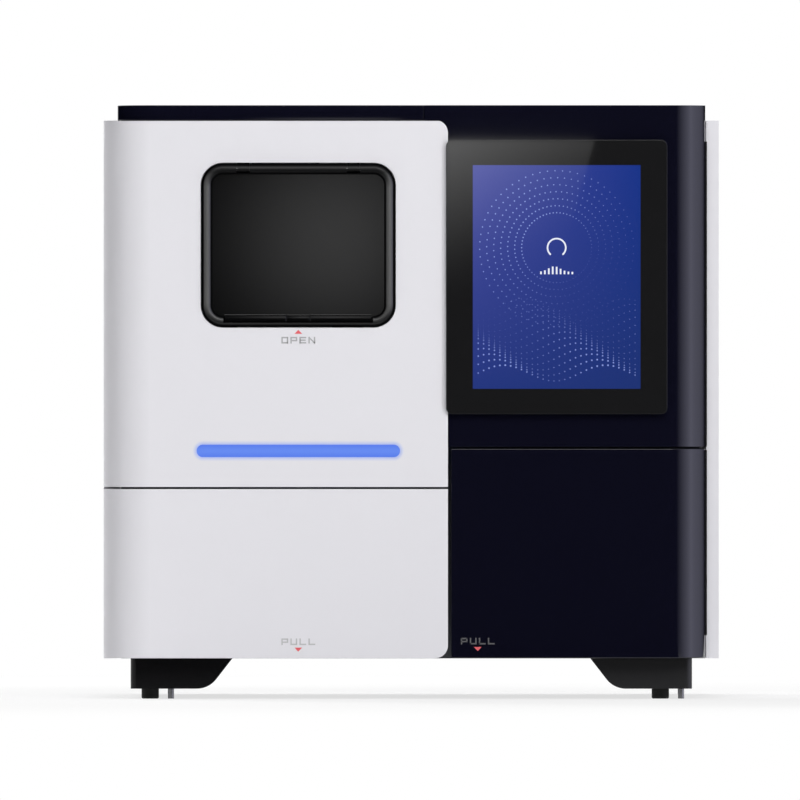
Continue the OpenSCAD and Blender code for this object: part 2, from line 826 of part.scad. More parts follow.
// Square bottle with rounded upright edges and a necked mouth
module waste_bottle() {
    wall = 2;
    neck_at = [waste_at.x + waste_size.x / 2, waste_at.y + 45];
    top = bay_floor_z + waste_size.z - 18;
    color(natural_plastic) difference() {
        union() {
            along_z(bay_floor_z, top) translate(waste_at)
                corner_rect(waste_size.x, waste_size.y, [14, 14, 14, 14]);
            rod_z(neck_r, top, top + 16, neck_at.x, neck_at.y);
        }
        along_z(bay_floor_z + wall, top - wall)
            translate(waste_at + [wall, wall])
                corner_rect(waste_size.x - 2 * wall, waste_size.y - 2 * wall, [12, 12, 12, 12]);
        rod_z(neck_r - 3, top - wall - 1, top + 17, neck_at.x, neck_at.y);
    }
}

// Round bottle with a sloping shoulder, turned as one profile
module buffer_bottle() {
    h = 128;
    shoulder = 18;
    wall = 2;
    color(natural_plastic) translate([buffer_at.x, buffer_at.y, bay_floor_z])
        rotate_extrude() polygon([
            [0, 0], [buffer_r, 0], [buffer_r, h - shoulder], [neck_r, h], [neck_r, h + 16],
            [neck_r - 3, h + 16], [neck_r - 3, h - 1], [buffer_r - wall, h - shoulder - 1],
            [buffer_r - wall, wall], [0, wall]]);
}

// Screw caps with two tube stubs each
module bottle_caps() {
    waste_top = bay_floor_z + waste_size.z - 18;
    mouths = [[waste_at.x + waste_size.x / 2, waste_at.y + 45, waste_top + 3],
        [buffer_at.x, buffer_at.y, bay_floor_z + 128 + 3]];
    color(light_blue) for (m = mouths) translate(m) {
        difference() {
            cylinder(r = neck_r + 3, h = 17);
            translate([0, 0, -1]) cylinder(r = neck_r + 0.2, h = 14);
            for (s = [-1, 1]) translate([s * 7, 0, 0]) cylinder(r = 1.2, h = 30);
        }
        for (s = [-1, 1]) translate([s * 7, 0, 17]) difference() {
            cylinder(r = 2.8, h = 9);
            translate([0, 0, -1]) cylinder(r = 1.2, h = 12);
        }
    }
}

// ---------------------------------------------------------------- stage and optics

module optics_deck() {
    leg_at = [for (x = [-248, 8], y = [-222, 205]) [x, y]];
    color(frame_grey) {
        block([-262, -236, deck_z - 12], [22, 220, deck_z]);
        for (p = leg_at) rod_z(9, shelf_z + sheet_t, deck_z - 12, p.x, p.y);
    }
}

module stage_rails() {
    color(bright_metal) {
        for (x = stage_rail_x) block([x - 7.5, -225, deck_z], [x + 7.5, 110, deck_z + 12]);
        block([stage_mid_x - 20, -225, deck_z], [stage_mid_x + 20, 110, deck_z + 6]);
    }
}

// Bearing blocks astride the rails, a plate, and the cross rails on top
module stage_y_carriage() {
    plate_z = deck_z + 18;
    color(frame_grey) {
        block([-212, stage_y_at - 58, plate_z], [-28, stage_y_at + 58, plate_z + 6]);
        for (x = stage_rail_x, y = [stage_y_at - 42, stage_y_at + 42]) difference() {
            block([x - 15, y - 15, deck_z + 3], [x + 15, y + 15, plate_z]);
            block([x - 8, y - 16, deck_z + 2], [x + 8, y + 16, deck_z + 12.5]);
        }
        for (y = [stage_y_at - 35, stage_y_at + 35])
            block([-205, y - 5, plate_z + 6], [-35, y + 5, plate_z + 12]);
    }
}

// Upper carriage with the heated seat for the flow cell
module stage_x_carriage() {
    plate_z = deck_z + 32;
    color(bright_metal) {
        difference() {
            block([stage_mid_x - 52, stage_y_at - 48, deck_z + 25],
                [stage_mid_x + 52, stage_y_at + 48, plate_z + 6]);
            for (y = [stage_y_at - 35, stage_y_at + 35])
                block([stage_mid_x - 60, y - 5.5, deck_z + 24], [stage_mid_x + 60, y + 5.5, deck_z + 30.5]);
        }
        difference() {
            block([stage_mid_x - 46, stage_y_at - 38, plate_z + 6],
                [stage_mid_x + 46, stage_y_at + 38, flow_cell_z + 2]);
            block([stage_mid_x - 38.3, stage_y_at - 26.3, flow_cell_z],
                [stage_mid_x + 38.3, stage_y_at + 26.3, flow_cell_z + 3]);
        }
        // lugs for the clamp's pin
        for (s = [-1, 1]) translate([stage_mid_x + s * 43, 0, 0]) difference() {
            union() {
                block([-3, stage_y_at + 30, flow_cell_z + 2], [3, stage_y_at + 38, flow_cell_z + 6]);
                rod_x(4, -3, 3, stage_y_at + 34, flow_cell_z + 6);
            }
            rod_x(1.5, -4, 4, stage_y_at + 34, flow_cell_z + 6);
        }
    }
}

// Glass chip in a moulded carrier
module flow_cell() {
    color(light_blue) {
        block([stage_mid_x - 38, stage_y_at - 26, flow_cell_z],
            [stage_mid_x + 38, stage_y_at + 26, flow_cell_z + 4]);
    }
}

// Hinged frame that presses the flow cell down, with a thumb tab in front
module flow_cell_clamp() {
    z0 = flow_cell_z + 4.4;
    color(frame_grey) {
        difference() {
            union() {
                block([stage_mid_x - 36, stage_y_at - 30, z0], [stage_mid_x + 36, stage_y_at + 30, z0 + 3.5]);
                block([stage_mid_x - 12, stage_y_at - 42, z0], [stage_mid_x + 12, stage_y_at - 30, z0 + 3.5]);
                block([stage_mid_x - 36, stage_y_at + 29, z0], [stage_mid_x + 36, stage_y_at + 34, z0 + 3.5]);
                rod_x(2.4, stage_mid_x - 36, stage_mid_x + 36, stage_y_at + 34, flow_cell_z + 6);
            }
            block([stage_mid_x - 27, stage_y_at - 17, z0 - 1], [stage_mid_x + 27, stage_y_at + 17, z0 + 5]);
        }
        rod_x(1.44, stage_mid_x - 46, stage_mid_x + 46, stage_y_at + 34, flow_cell_z + 6);
    }
}

bridge_y = 20;
bridge_z = 462;
objective_r = 17;

// Two columns and a beam over the stage
module optics_bridge() {
    color(sheet_grey) {
        difference() {
            block([-252, bridge_y - 22, bridge_z], [12, bridge_y + 22, bridge_z + 16]);
            rod_z(objective_r + running, bridge_z - 1, bridge_z + 17, stage_mid_x, bridge_y);
        }
        for (x = [-252, -6]) block([x, bridge_y - 22, deck_z], [x + 18, bridge_y + 22, bridge_z]);
    }
}

module objective() {
    color(bright_metal) translate([stage_mid_x, bridge_y, 0]) difference() {
        union() {
            rod_z(9, 404, 414, 0, 0);
            rod_z(14, 414, 430, 0, 0);
            rod_z(objective_r, 430, 484, 0, 0);
        }
        rod_z(6, 403, 485, 0, 0);
    }
}

// Tube lens on the beam, a fold box and the camera lying behind it
module camera() {
    z0 = bridge_z + 16;
    color(black_plastic) difference() {
        union() {
            rod_z(24, z0, z0 + 12, stage_mid_x, bridge_y);
            block([stage_mid_x - 28, bridge_y - 28, z0 + 12], [stage_mid_x + 28, bridge_y + 28, z0 + 62]);
            rod_y(20, bridge_y + 28, bridge_y + 90, stage_mid_x, z0 + 36);
            block([stage_mid_x - 32, bridge_y + 90, z0 + 6], [stage_mid_x + 32, bridge_y + 160, z0 + 66]);
        }
        rod_z(objective_r + 1, z0 - 1, z0 + 9, stage_mid_x, bridge_y);
        rod_z(12, z0 - 1, z0 + 30, stage_mid_x, bridge_y);
        for (i = [0:5])
            block([stage_mid_x - 33, bridge_y + 98 + i * 10, z0 + 56],
                [stage_mid_x + 33, bridge_y + 103 + i * 10, z0 + 67]);
    }
}

// ---------------------------------------------------------------- fluidics

sipper_rod_x = [-212, -26];
sipper_rod_y = -25;
sipper_rod_r = 5;
lead_screw_r = 4;
sipper_z = 274;              // underside of the sipper plate when raised
sipper_needle = 135;

// Two guide rods under a cross beam, with a flat motor and its lead screw between them
module sipper_tower() {
    top = deck_z - 12;
    beam_t = 10;
    motor_t = 22;
    foot = shelf_z - 6;
    color(bright_metal) {
        for (x = sipper_rod_x) {
            rod_z(sipper_rod_r, foot, top - beam_t, x, sipper_rod_y);
            block([x - 14, sipper_rod_y - 10, foot], [x + 14, sipper_rod_y + 10, shelf_z]);
        }
        block([sipper_rod_x[0] - 14, sipper_rod_y - 12, top - beam_t],
            [sipper_rod_x[1] + 14, sipper_rod_y + 12, top]);
        translate([stage_mid_x + 1, sipper_rod_y, top - beam_t - motor_t / 2])
            cube([42, 42, motor_t], center = true);
        rod_z(lead_screw_r, shelf_z + 4, top - beam_t - motor_t, stage_mid_x + 1, sipper_rod_y);
    }
}

// Plate that slides on the rods and carries two needles for each trough
module sipper_head() {
    plate_t = 6;
    nut_t = 8;
    reach = 62;
    color(natural_plastic) {
        difference() {
            union() {
                block([sipper_rod_x[0] - 10, sipper_rod_y - reach, sipper_z],
                    [sipper_rod_x[1] + 10, sipper_rod_y + reach, sipper_z + plate_t]);
                for (x = [each sipper_rod_x, stage_mid_x + 1])
                    rod_z(9.5, sipper_z - nut_t, sipper_z, x, sipper_rod_y);
            }
            for (x = sipper_rod_x)
                rod_z(sipper_rod_r + running, sipper_z - nut_t - 1, sipper_z + plate_t + 1,
                    x, sipper_rod_y);
            rod_z(lead_screw_r + running, sipper_z - nut_t - 1, sipper_z + plate_t + 1,
                stage_mid_x + 1, sipper_rod_y);
        }
        for (i = [0:trough_count - 1], y = needle_y)
            rod_z(1.2, sipper_z - sipper_needle, sipper_z, trough_x0 + i * trough_pitch, y);
    }
}

pump_at = [90, 20];

// Upright body with a valve head, a glass barrel in front and a slot for the plunger's arm
module syringe_pump() {
    x = pump_at.x;
    y = pump_at.y;
    color(sheet_grey) {
        difference() {
            block([x - 25, y, bottle_shelf_z + sheet_t], [x + 25, y + 95, 400]);
            block([x - 4, y - 1, 262], [x + 4, y + 30, 345]);
        }
        block([x - 20, y - 40, 372], [x + 20, y, 396]);
        difference() {
            rod_z(8, 318, 372, x, y - 20);
            rod_z(6, 317, 371, x, y - 20);
        }
    }
}

module syringe_plunger() {
    x = pump_at.x;
    y = pump_at.y - 20;
    color(bright_metal) {
        rod_z(5.9, 338, 344, x, y);
        rod_z(2.5, 290, 338, x, y);
        rod_z(7, 284, 290, x, y);
        block([x - 3, y, 284], [x + 3, y + 45, 290]);
    }
}

// ---------------------------------------------------------------- electronics

module main_board() {
    x = core_x - 14;
    chips = [for (i = [0:3]) [-150 + i * 55, 330 + 40 * (i % 2)]];
    color(board_green) block([x, -190, 270], [x + 2, 60, 500]);
    color(board_green) for (y = [-182, 52], z = [278, 492]) rod_x(3, x + 1, wall_x, y, z);
    color(board_green) for (c = chips) block([x - 9, c.x, c.y], [x, c.x + 34, c.y + 34]);
    color(board_green) for (i = [0:3]) block([x - 13, -180 + i * 60, 480], [x, -140 + i * 60, 492]);
}

module power_supply() {
    lo = [60, 110, base_top];
    hi = [170, 270, base_top + 66];
    color(sheet_grey) difference() {
        block(lo, hi);
        for (i = [0:8]) along_y(lo.y - 1, lo.y + 3)
            translate([(lo.x + hi.x) / 2, lo.z + 9 + i * 6]) slot(90, 3);
    }
}

spindle_r = 1.5;

// Square frames, each with a spider that holds the rotor's bearing
module fan_housings() {
    hub_r = 17;
    spider_t = 2;
    color(black_plastic) for (p = fan_at) difference() {
        along_y(fan_y[0], fan_y[1]) translate(p) rounded_rect(2 * fan_half, 2 * fan_half, 5);
        difference() {
            rod_y(fan_r + 1, fan_y[0] - 1, fan_y[1] + 1, p.x, p.y);
            rod_y(hub_r, fan_y[0] - 1, fan_y[0] + spider_t, p.x, p.y);
            for (a = [45:90:315]) translate([p.x, 0, p.y]) rotate([0, a, 0])
                block([hub_r - 4, fan_y[0] - 1, -2.5], [fan_r + 3, fan_y[0] + spider_t, 2.5]);
        }
        rod_y(spindle_r + running, fan_y[0] - 1, fan_y[0] + spider_t + 1, p.x, p.y);
        for (a = [-1, 1], b = [-1, 1])
            rod_y(2.2, fan_y[0] - 1, fan_y[1] + 1, p.x + a * fan_hole, p.y + b * fan_hole);
    }
}

// Hub and seven pitched blades
module fan_rotor(p) {
    blades = 7;
    hub_r = 18;
    color(black_plastic) translate([p.x, 0, p.y]) {
        rod_y(hub_r, fan_y[0] + 3, fan_y[1] - 4, 0, 0);
        rod_y(spindle_r, fan_y[0], fan_y[0] + 4, 0, 0);
        for (i = [0:blades - 1]) rotate([0, i * 360 / blades, 0])
            translate([(hub_r + fan_r) / 2 - 1.5, (fan_y[0] + fan_y[1]) / 2 + 0.5, 0])
                rotate([38, 0, 0])
                    cube([fan_r - hub_r + 1, 1.8, 24], center = true);
    }
}

module fan_rotor_left() {
    fan_rotor(fan_at[0]);
}

module fan_rotor_right() {
    fan_rotor(fan_at[1]);
}

// Wire rings on a cross of wires that ends in screw eyes
module fan_guards() {
    wire_r = 1;
    eye_r = 4.5;
    ring_y = rear_y + 2.6;
    reach = fan_hole * sqrt(2) - eye_r + 1;
    color(bright_metal) for (p = fan_at) translate([p.x, 0, p.y]) {
        for (r = [11, 21, 31, 41]) translate([0, ring_y, 0]) rotate([90, 0, 0])
            rotate_extrude() translate([r, 0]) circle(wire_r, $fn = 24);
        for (a = [45, 135]) rotate([0, a, 0])
            rod_x(wire_r, -reach, reach, rear_y + wire_r, 0);
        for (a = [-1, 1], b = [-1, 1]) translate([a * fan_hole, 0, b * fan_hole]) difference() {
            rod_y(eye_r, rear_y, rear_y + guard_eye_t, 0, 0);
            rod_y(2.2, rear_y - 1, rear_y + guard_eye_t + 1, 0, 0);
        }
    }
}

switch_pivot_y = rear_y - 3;
switch_pivot_r = 1.2;

// One moulding with the inlet's socket below and the rocker's opening above
module power_inlet() {
    back = rear_y - 22;
    blade_x = [-7, 0, 7];
    color(black_plastic) {
        difference() {
            union() {
                along_y(rear_y, rear_y + 2.5) translate(module_at) rounded_rect(33, 55, 3);
                along_y(back, rear_y) translate(module_at) square([28, 50], center = true);
            }
            along_y(back + 3, rear_y + 4) translate(inlet_at) rounded_rect(24.5, 16.5, 2);
            along_y(back + 8, rear_y + 4) translate(switch_at) square([19, 14.4], center = true);
            rod_x(switch_pivot_r + running, switch_at.x - 11, switch_at.x + 11,
                switch_pivot_y, switch_at.y);
        }
        for (x = blade_x) translate([inlet_at.x + x, 0, inlet_at.y + (x == 0 ? 2.5 : -1.5)])
            along_y(back + 3, rear_y - 4) square([2, 4], center = true);
    }
}

// Rocker that tips about its middle, shown in its off position
module power_switch() {
    tilt = 8;
    color(black_plastic) translate([switch_at.x, switch_pivot_y, switch_at.y]) {
        rotate([tilt, 0, 0]) difference() {
            block([-9, -6, -6.1], [9, 7, 6.1]);
            // shallow dish in the face
            rod_x(30, -10, 10, 36, 0);
        }
        rod_x(switch_pivot_r, -10.8, 10.8, 0, 0);
    }
}

// Socket in a square shell, with a collar behind the rear panel
module port(at, shell, mouth) {
    depth = 18;
    proud = 0.8;
    collar = 2;
    difference() {
        union() {
            along_y(rear_y - depth, rear_y + proud) translate(at) square(shell, center = true);
            along_y(rear_y - sheet_t - collar, rear_y - sheet_t)
                translate(at) square(shell + 2 * [collar, collar], center = true);
        }
        along_y(rear_y - depth + 2, rear_y + proud + 1) translate(at) square(mouth, center = true);
    }
}

module data_ports() {
    color(black_plastic) {
        for (p = usb_at) port(p, usb_shell, [13, 6]);
        port(network_at, network_shell, [12, 11]);
    }
}

module case_screws() {
    color(bright_metal) {
        for (p = rear_screw_at) translate([p.x, rear_y, p.y]) rotate([-90, 0, 0]) screw();
        for (p = fan_screw_at)
            translate([p.x, rear_y + guard_eye_t, p.y]) rotate([-90, 0, 0]) screw();
        for (p = base_screw_at) translate([p.x, p.y, body_z + base_sink])
            rotate([180, 0, 0]) screw(shank = base_top - body_z - base_sink);
    }
}

// ---------------------------------------------------------------- nodes

base_plate();
foot_rails();
rubber_feet();
levelling_studs();
front_frame();
rear_panel();
rear_spacers();
inner_walls();
bay_shelves();
left_side_panel();
right_side_panel();
top_cover();
upper_left_cover();
upper_right_cover();
light_bar();
screen_glass();
screen_panel();
screen_housing();
flow_door_frame();
flow_door_window();
flow_door_grip();
flow_door_button();
hinge_brackets();
hinge_pins();
drawer_front();
drawer_tray();
reagent_cartridge();
slide_rails_fixed();
slide_rails_middle();
slide_rails_inner();
chiller();
bottle_door();
bottle_door_liner();
waste_bottle();
buffer_bottle();
bottle_caps();
bottle_tray();
optics_deck();
stage_rails();
stage_y_carriage();
stage_x_carriage();
flow_cell();
flow_cell_clamp();
optics_bridge();
objective();
camera();
sipper_tower();
sipper_head();
syringe_pump();
syringe_plunger();
main_board();
power_supply();
fan_housings();
fan_rotor_left();
fan_rotor_right();
fan_guards();
power_inlet();
power_switch();
data_ports();
case_screws();
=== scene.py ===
"""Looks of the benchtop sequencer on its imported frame: a finish for every piece, soft edges on
the covers, the lettering, and the small repeated parts. Lengths are in metres."""
import json
import math

import bmesh
import bpy
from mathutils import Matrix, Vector


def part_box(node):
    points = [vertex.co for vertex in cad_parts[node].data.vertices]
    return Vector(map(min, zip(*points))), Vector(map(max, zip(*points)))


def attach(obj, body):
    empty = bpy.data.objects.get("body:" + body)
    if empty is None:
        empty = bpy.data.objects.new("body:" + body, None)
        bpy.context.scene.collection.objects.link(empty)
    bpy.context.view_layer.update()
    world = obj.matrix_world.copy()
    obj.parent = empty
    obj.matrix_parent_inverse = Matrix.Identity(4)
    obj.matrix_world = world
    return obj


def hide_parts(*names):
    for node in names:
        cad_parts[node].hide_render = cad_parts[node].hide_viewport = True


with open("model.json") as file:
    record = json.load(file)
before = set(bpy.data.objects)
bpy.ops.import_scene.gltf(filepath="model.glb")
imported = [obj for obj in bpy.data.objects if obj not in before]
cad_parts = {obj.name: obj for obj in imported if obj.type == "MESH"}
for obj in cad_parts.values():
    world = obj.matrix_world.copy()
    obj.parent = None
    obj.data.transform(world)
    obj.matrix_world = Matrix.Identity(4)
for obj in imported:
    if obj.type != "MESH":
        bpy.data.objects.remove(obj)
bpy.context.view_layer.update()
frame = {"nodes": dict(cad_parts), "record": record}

mm = 0.001


# ---------------------------------------------------------------- where things are

def middle(node):
    lo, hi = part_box(node)
    return (lo + hi) / 2


def body_of(node):
    """The body that a frame node belongs to."""
    bodies = frame["record"]["behaviour"]["bodies"]
    return next(body for body, nodes in bodies.items() if node in nodes)


def slot_of(node):
    """The record's material slot of a frame node."""
    return next(p["material_slot"] for p in frame["record"]["subparts"] if p["node"] == node)


# ---------------------------------------------------------------- camera and studio

VIEW_WIDTH = 0.7544
VIEW_X, VIEW_Z = -0.0107, 0.282
LENS, SENSOR = 1600, 36
VIEW_DISTANCE = VIEW_WIDTH * LENS / SENSOR
FRONT_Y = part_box("left_side_panel")[0].y - 66 * mm


def placed(name, data):
    """A new object at the origin, in the scene."""
    thing = bpy.data.objects.new(name, data)
    bpy.context.scene.collection.objects.link(thing)
    return thing


def make_camera():
    """Straight in front of the instrument, far off and with a long lens."""
    data = bpy.data.cameras.new("camera")
    data.lens = LENS
    data.sensor_width = SENSOR
    data.clip_end = 100
    camera = placed("view_camera", data)
    camera.location = (VIEW_X, FRONT_Y - VIEW_DISTANCE, VIEW_Z)
    camera.rotation_euler = (math.pi / 2, 0, 0)
    bpy.context.scene.camera = camera


def mirrored(x, z, card_y):
    """Where on an upright card lies what the front shows at x, z as its reflection."""
    share = (FRONT_Y - card_y) / VIEW_DISTANCE
    return Vector((x + share * (x - VIEW_X), card_y, z + share * (z - VIEW_Z)))


def area_lamp(name, place, aim, size, power):
    data = bpy.data.lights.new(name, "AREA")
    data.shape = "RECTANGLE"
    data.size, data.size_y = size
    data.energy = power
    lamp = placed(name, data)
    lamp.location = place
    lamp.rotation_euler = (Vector(aim) - Vector(place)).to_track_quat("-Z", "Y").to_euler()
    lamp.visible_camera = False
    return lamp


def seen_directly(nodes):
    """1 for the rays that show the backdrop: straight, in a reflection or through glass."""
    path = nodes.add("ShaderNodeLightPath").outputs
    others = nodes.math("ADD", path["Is Glossy Ray"], path["Is Transmission Ray"], use_clamp=True)
    return nodes.math("ADD", path["Is Camera Ray"], others, use_clamp=True)


def make_world():
    """White to the eye, and a soft even light on the object."""
    sky = 0.13
    world = bpy.data.worlds.new("studio")
    world.use_nodes = True
    world.node_tree.nodes.clear()
    bpy.context.scene.world = world
    nodes = Nodes(world.node_tree)
    lit, white = (nodes.add("ShaderNodeBackground", {"Color": (1, 1, 1, 1), "Strength": strength})
                  for strength in (sky, 1))
    mix = nodes.add("ShaderNodeMixShader", {0: seen_directly(nodes), 1: lit.outputs[0],
                                            2: white.outputs[0]})
    nodes.add("ShaderNodeOutputWorld", {"Surface": mix.outputs[0]})


def make_floor():
    """Pale floor that keeps the shadow near the instrument and turns white further out."""
    half = 60
    near, far, white_near = 0.7, 2.4, 0.7
    floor = plain_mesh("studio_floor", [(-half, -half, 0), (half, -half, 0), (half, half, 0),
                                        (-half, half, 0)], [(0, 1, 2, 3)])
    nodes = material_nodes("floor_paper")
    paper = nodes.add("ShaderNodeBsdfDiffuse", {"Color": (0.9, 0.9, 0.9, 1)})
    white = nodes.add("ShaderNodeEmission")
    fade = nodes.ranged(nodes.vector("LENGTH", nodes.here()), (near, far), (white_near, 1),
                        interpolation_type="SMOOTHSTEP")
    share = nodes.math("MULTIPLY", fade, seen_directly(nodes))
    mix = nodes.add("ShaderNodeMixShader", {0: share, 1: paper.outputs[0], 2: white.outputs[0]})
    floor.data.materials.append(nodes.done(mix))


def studio_card(name, corners, strength=0, fade=None, power=1, colour=(1, 1, 1, 1)):
    """A card that only reflections see. Fade gives the point where it is brightest and the
    one where it is dark; round fades spread from the first point on all sides."""
    card = plain_mesh(name, corners, [tuple(range(len(corners)))])
    nodes = material_nodes(name)
    if fade:
        start, end, is_round = Vector(fade[0]), Vector(fade[1]), fade[2]
        way = nodes.vector("SUBTRACT", nodes.here(), start)
        if is_round:
            way = nodes.vector("LENGTH", way)
        else:
            way = nodes.vector("DOT_PRODUCT", way, (end - start).normalized())
        left = nodes.ranged(way, (0, (end - start).length), (1, 0))
        strength = nodes.math("MULTIPLY", nodes.math("POWER", left, power), strength)
    glow = nodes.add("ShaderNodeEmission", {"Color": colour, "Strength": strength})
    card.data.materials.append(nodes.done(glow))
    for ray in ("camera", "diffuse", "transmission", "shadow", "volume_scatter"):
        setattr(card, "visible_" + ray, False)


def make_lamps():
    """Large soft boxes: one near the viewer, one on the right, and others all round.
    Reflections show only the first, so that no other lamp stands in the black top."""
    aim = (0, -0.1, 0.3)
    for name, place, size, power in (
            ("front_box", (0.8, -5.2, 3.5), (3.0, 2.4), 172),
            ("key_box", (3.1, -3.9, 1.3), (1.0, 2.4), 66),
            ("right_box", (4.2, 0.6, 1.8), (1.8, 1.8), 38),
            ("left_box", (-2.5, 3.5, 2.0), (1.4, 1.8), 175),
            ("top_box", (0, 0.8, 3.6), (2.4, 2.4), 22),
            ("back_box", (-0.8, 4.6, 1.8), (2.0, 2.0), 20)):
        lamp = area_lamp(name, place, aim, size, power)
        lamp.visible_glossy = name == "front_box"


def upright(start, end, low, high):
    """Corners of an upright card over a line on the floor, between two heights."""
    return [(*start, low), (*end, low), (*end, high), (*start, high)]


def make_cards():
    """Dark cards in front, so that black panels stay black, and the soft lights that the
    screen, the pane and the rounded corners reflect."""
    front_y, back_y, bright_y = -5.6, 9.0, -0.9
    side_x, top = 3.6, 4
    floor_z = 0.002
    studio_card("dark_wall", upright((-4, front_y), (4, front_y), 0, top))
    studio_card("dark_floor", [(-4, front_y, floor_z), (4, front_y, floor_z),
                               (1.6, -0.6, floor_z), (-1.6, -0.6, floor_z)])
    bluish = (0.95, 0.95, 1.2, 1)
    for name, end_y, power in (("right_card_front", front_y, 1.5),
                               ("right_card_back", back_y, 3.6)):
        studio_card(name, upright((side_x, bright_y), (side_x, end_y), 0, top), 2.0,
                    ((side_x, bright_y, 0), (side_x, end_y, 0), False), power, bluish)
    studio_card("right_dark", upright((side_x, back_y), (0.4, back_y), 0.05, 1.4))
    # keeps the left corner of the black top dark, and leaves the white corner below it alone
    studio_card("left_dark", upright((-side_x, front_y), (-side_x, back_y), 0.4, 1))

    def reflected(*places):
        """Where on the card lies what the front shows at these places in millimetres."""
        return [mirrored(x * mm, z * mm, front_y + 0.1) for x, z in places]

    studio_card("screen_card", reflected((31, 268), (100.2, 268), (172.9, 527.5), (31, 527.5)),
                2.3, (*reflected((45.9, 527.3), (109, 401.2)), False), 2)
    studio_card("pane_card", reflected((-205, 345), (-8, 345), (-8, 515), (-205, 515)),
                1.6, (*reflected((-70, 437.8), (-190, 437.8)), True), 1)


# ---------------------------------------------------------------- meshes

def plain_mesh(name, points, faces):
    """A new piece from points in place."""
    mesh = bpy.data.meshes.new(name)
    mesh.from_pydata([tuple(p) for p in points], [], faces)
    mesh.update()
    return placed(name, mesh)


def bevelled(piece, radius, segments=2):
    """Rounds every sharp edge and leaves large flat faces flat, as a plain mesh."""
    for polygon in piece.data.polygons:
        polygon.use_smooth = True
    bevel = piece.modifiers.new("soft_edges", "BEVEL")
    bevel.width = radius
    bevel.segments = segments
    bevel.limit_method = "ANGLE"
    bevel.angle_limit = math.radians(35)
    bevel.use_clamp_overlap = True
    weighted = piece.modifiers.new("flat_faces", "WEIGHTED_NORMAL")
    weighted.mode = "FACE_AREA_WITH_ANGLE"
    weighted.weight = 100
    weighted.thresh = 0.01
    return baked(piece)


def baked(piece):
    """Turns the result of a piece's modifiers into its plain mesh."""
    graph = bpy.context.evaluated_depsgraph_get()
    result = bpy.data.meshes.new_from_object(
        piece.evaluated_get(graph), preserve_all_data_layers=True, depsgraph=graph)
    result.name = piece.name
    piece.modifiers.clear()
    piece.data = result
    return piece


def merged_copy(node, name):
    """A frame node's mesh as a new piece, its loose triangles joined and flat faces whole."""
    shape = bmesh.new()
    shape.from_mesh(frame["nodes"][node].data)
    bmesh.ops.remove_doubles(shape, verts=shape.verts, dist=0.01 * mm)
    bmesh.ops.dissolve_limit(shape, angle_limit=math.radians(0.5), verts=shape.verts,
                             edges=shape.edges)
    mesh = bpy.data.meshes.new(name)
    shape.to_mesh(mesh)
    shape.free()
    return placed(name, mesh)


def dressed(piece, *names):
    """Gives a piece its finishes, in the order of its faces' material numbers."""
    piece.data.materials.clear()
    for name in names:
        piece.data.materials.append(finishes[name])
    return piece


def soft_copy(node, name, radius, segments=2, finish=None, top=1.0):
    """A finished piece that stands for a frame node, the same shape with soft edges. It can
    be kept below a height, for a gap under the piece above."""
    piece = merged_copy(node, name)
    for vertex in piece.data.vertices:
        vertex.co.z = min(vertex.co.z, top)
    dressed(bevelled(piece, radius, segments), finish or slot_of(node))
    settle(piece, body_of(node), slot_of(node), node)


def settle(piece, body, slot, *nodes):
    """Says what a piece rides on and what it stands for; its slot is not used."""
    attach(piece, body)
    if nodes:
        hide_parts(*nodes)


def joined(name, shapes):
    """One mesh from several sets of points and faces."""
    points, faces = [], []
    for more_points, more_faces in shapes:
        start = len(points)
        points += [tuple(p) for p in more_points]
        faces += [tuple(i + start for i in face) for face in more_faces]
    return plain_mesh(name, points, faces)


def block(lo, hi):
    """Points and outward faces of a block between two corners."""
    points = [(x, y, z) for z in (lo[2], hi[2]) for y in (lo[1], hi[1]) for x in (lo[0], hi[0])]
    faces = [(0, 2, 3, 1), (4, 5, 7, 6), (0, 1, 5, 4), (2, 6, 7, 3), (0, 4, 6, 2), (1, 3, 7, 5)]
    return points, faces


def turned(rings, sides):
    """Points and outward faces of a turned shape about the origin, from the radius and the
    height of each of its rings in millimetres."""
    points, faces = [], []
    for radius, height in rings:
        for i in range(sides):
            angle = 2 * math.pi * i / sides
            points.append((radius * mm * math.cos(angle), radius * mm * math.sin(angle),
                           height * mm))
    last = (len(rings) - 1) * sides
    for a in range(0, last, sides):
        b = a + sides
        faces += [(a + i, a + (i + 1) % sides, b + (i + 1) % sides, b + i) for i in range(sides)]
    faces += [tuple(reversed(range(sides))), tuple(range(last, last + sides))]
    return points, faces


def disc(radius, depth, sides):
    """Points and faces of a thin disc that faces the front."""
    ring = [(radius * math.cos(2 * math.pi * i / sides), radius * math.sin(2 * math.pi * i / sides))
            for i in range(sides)]
    points = [(x, y, z) for y in (0, depth) for x, z in ring]
    faces = [tuple(range(sides)), tuple(reversed(range(sides, 2 * sides)))]
    faces += [((i + 1) % sides, i, sides + i, sides + (i + 1) % sides) for i in range(sides)]
    return points, faces


def arc_band(radius, width, depth, start, end, steps):
    """Points and faces of a thin flat arc that faces the front, angles in degrees."""
    points, faces = [], []
    for i in range(steps + 1):
        angle = math.radians(start + (end - start) * i / steps)
        for r in (radius - width / 2, radius + width / 2):
            for y in (0, depth):
                points.append((r * math.cos(angle), y, r * math.sin(angle)))
    for i in range(steps):
        a, b = 4 * i, 4 * (i + 1)
        faces += [(a, a + 2, b + 2, b), (a + 1, b + 1, b + 3, a + 3), (a + 2, a + 3, b + 3, b + 2),
                  (a, b, b + 1, a + 1)]
    last = 4 * steps
    faces += [(0, 1, 3, 2), (last, last + 2, last + 3, last + 1)]
    return points, faces


# ---------------------------------------------------------------- materials

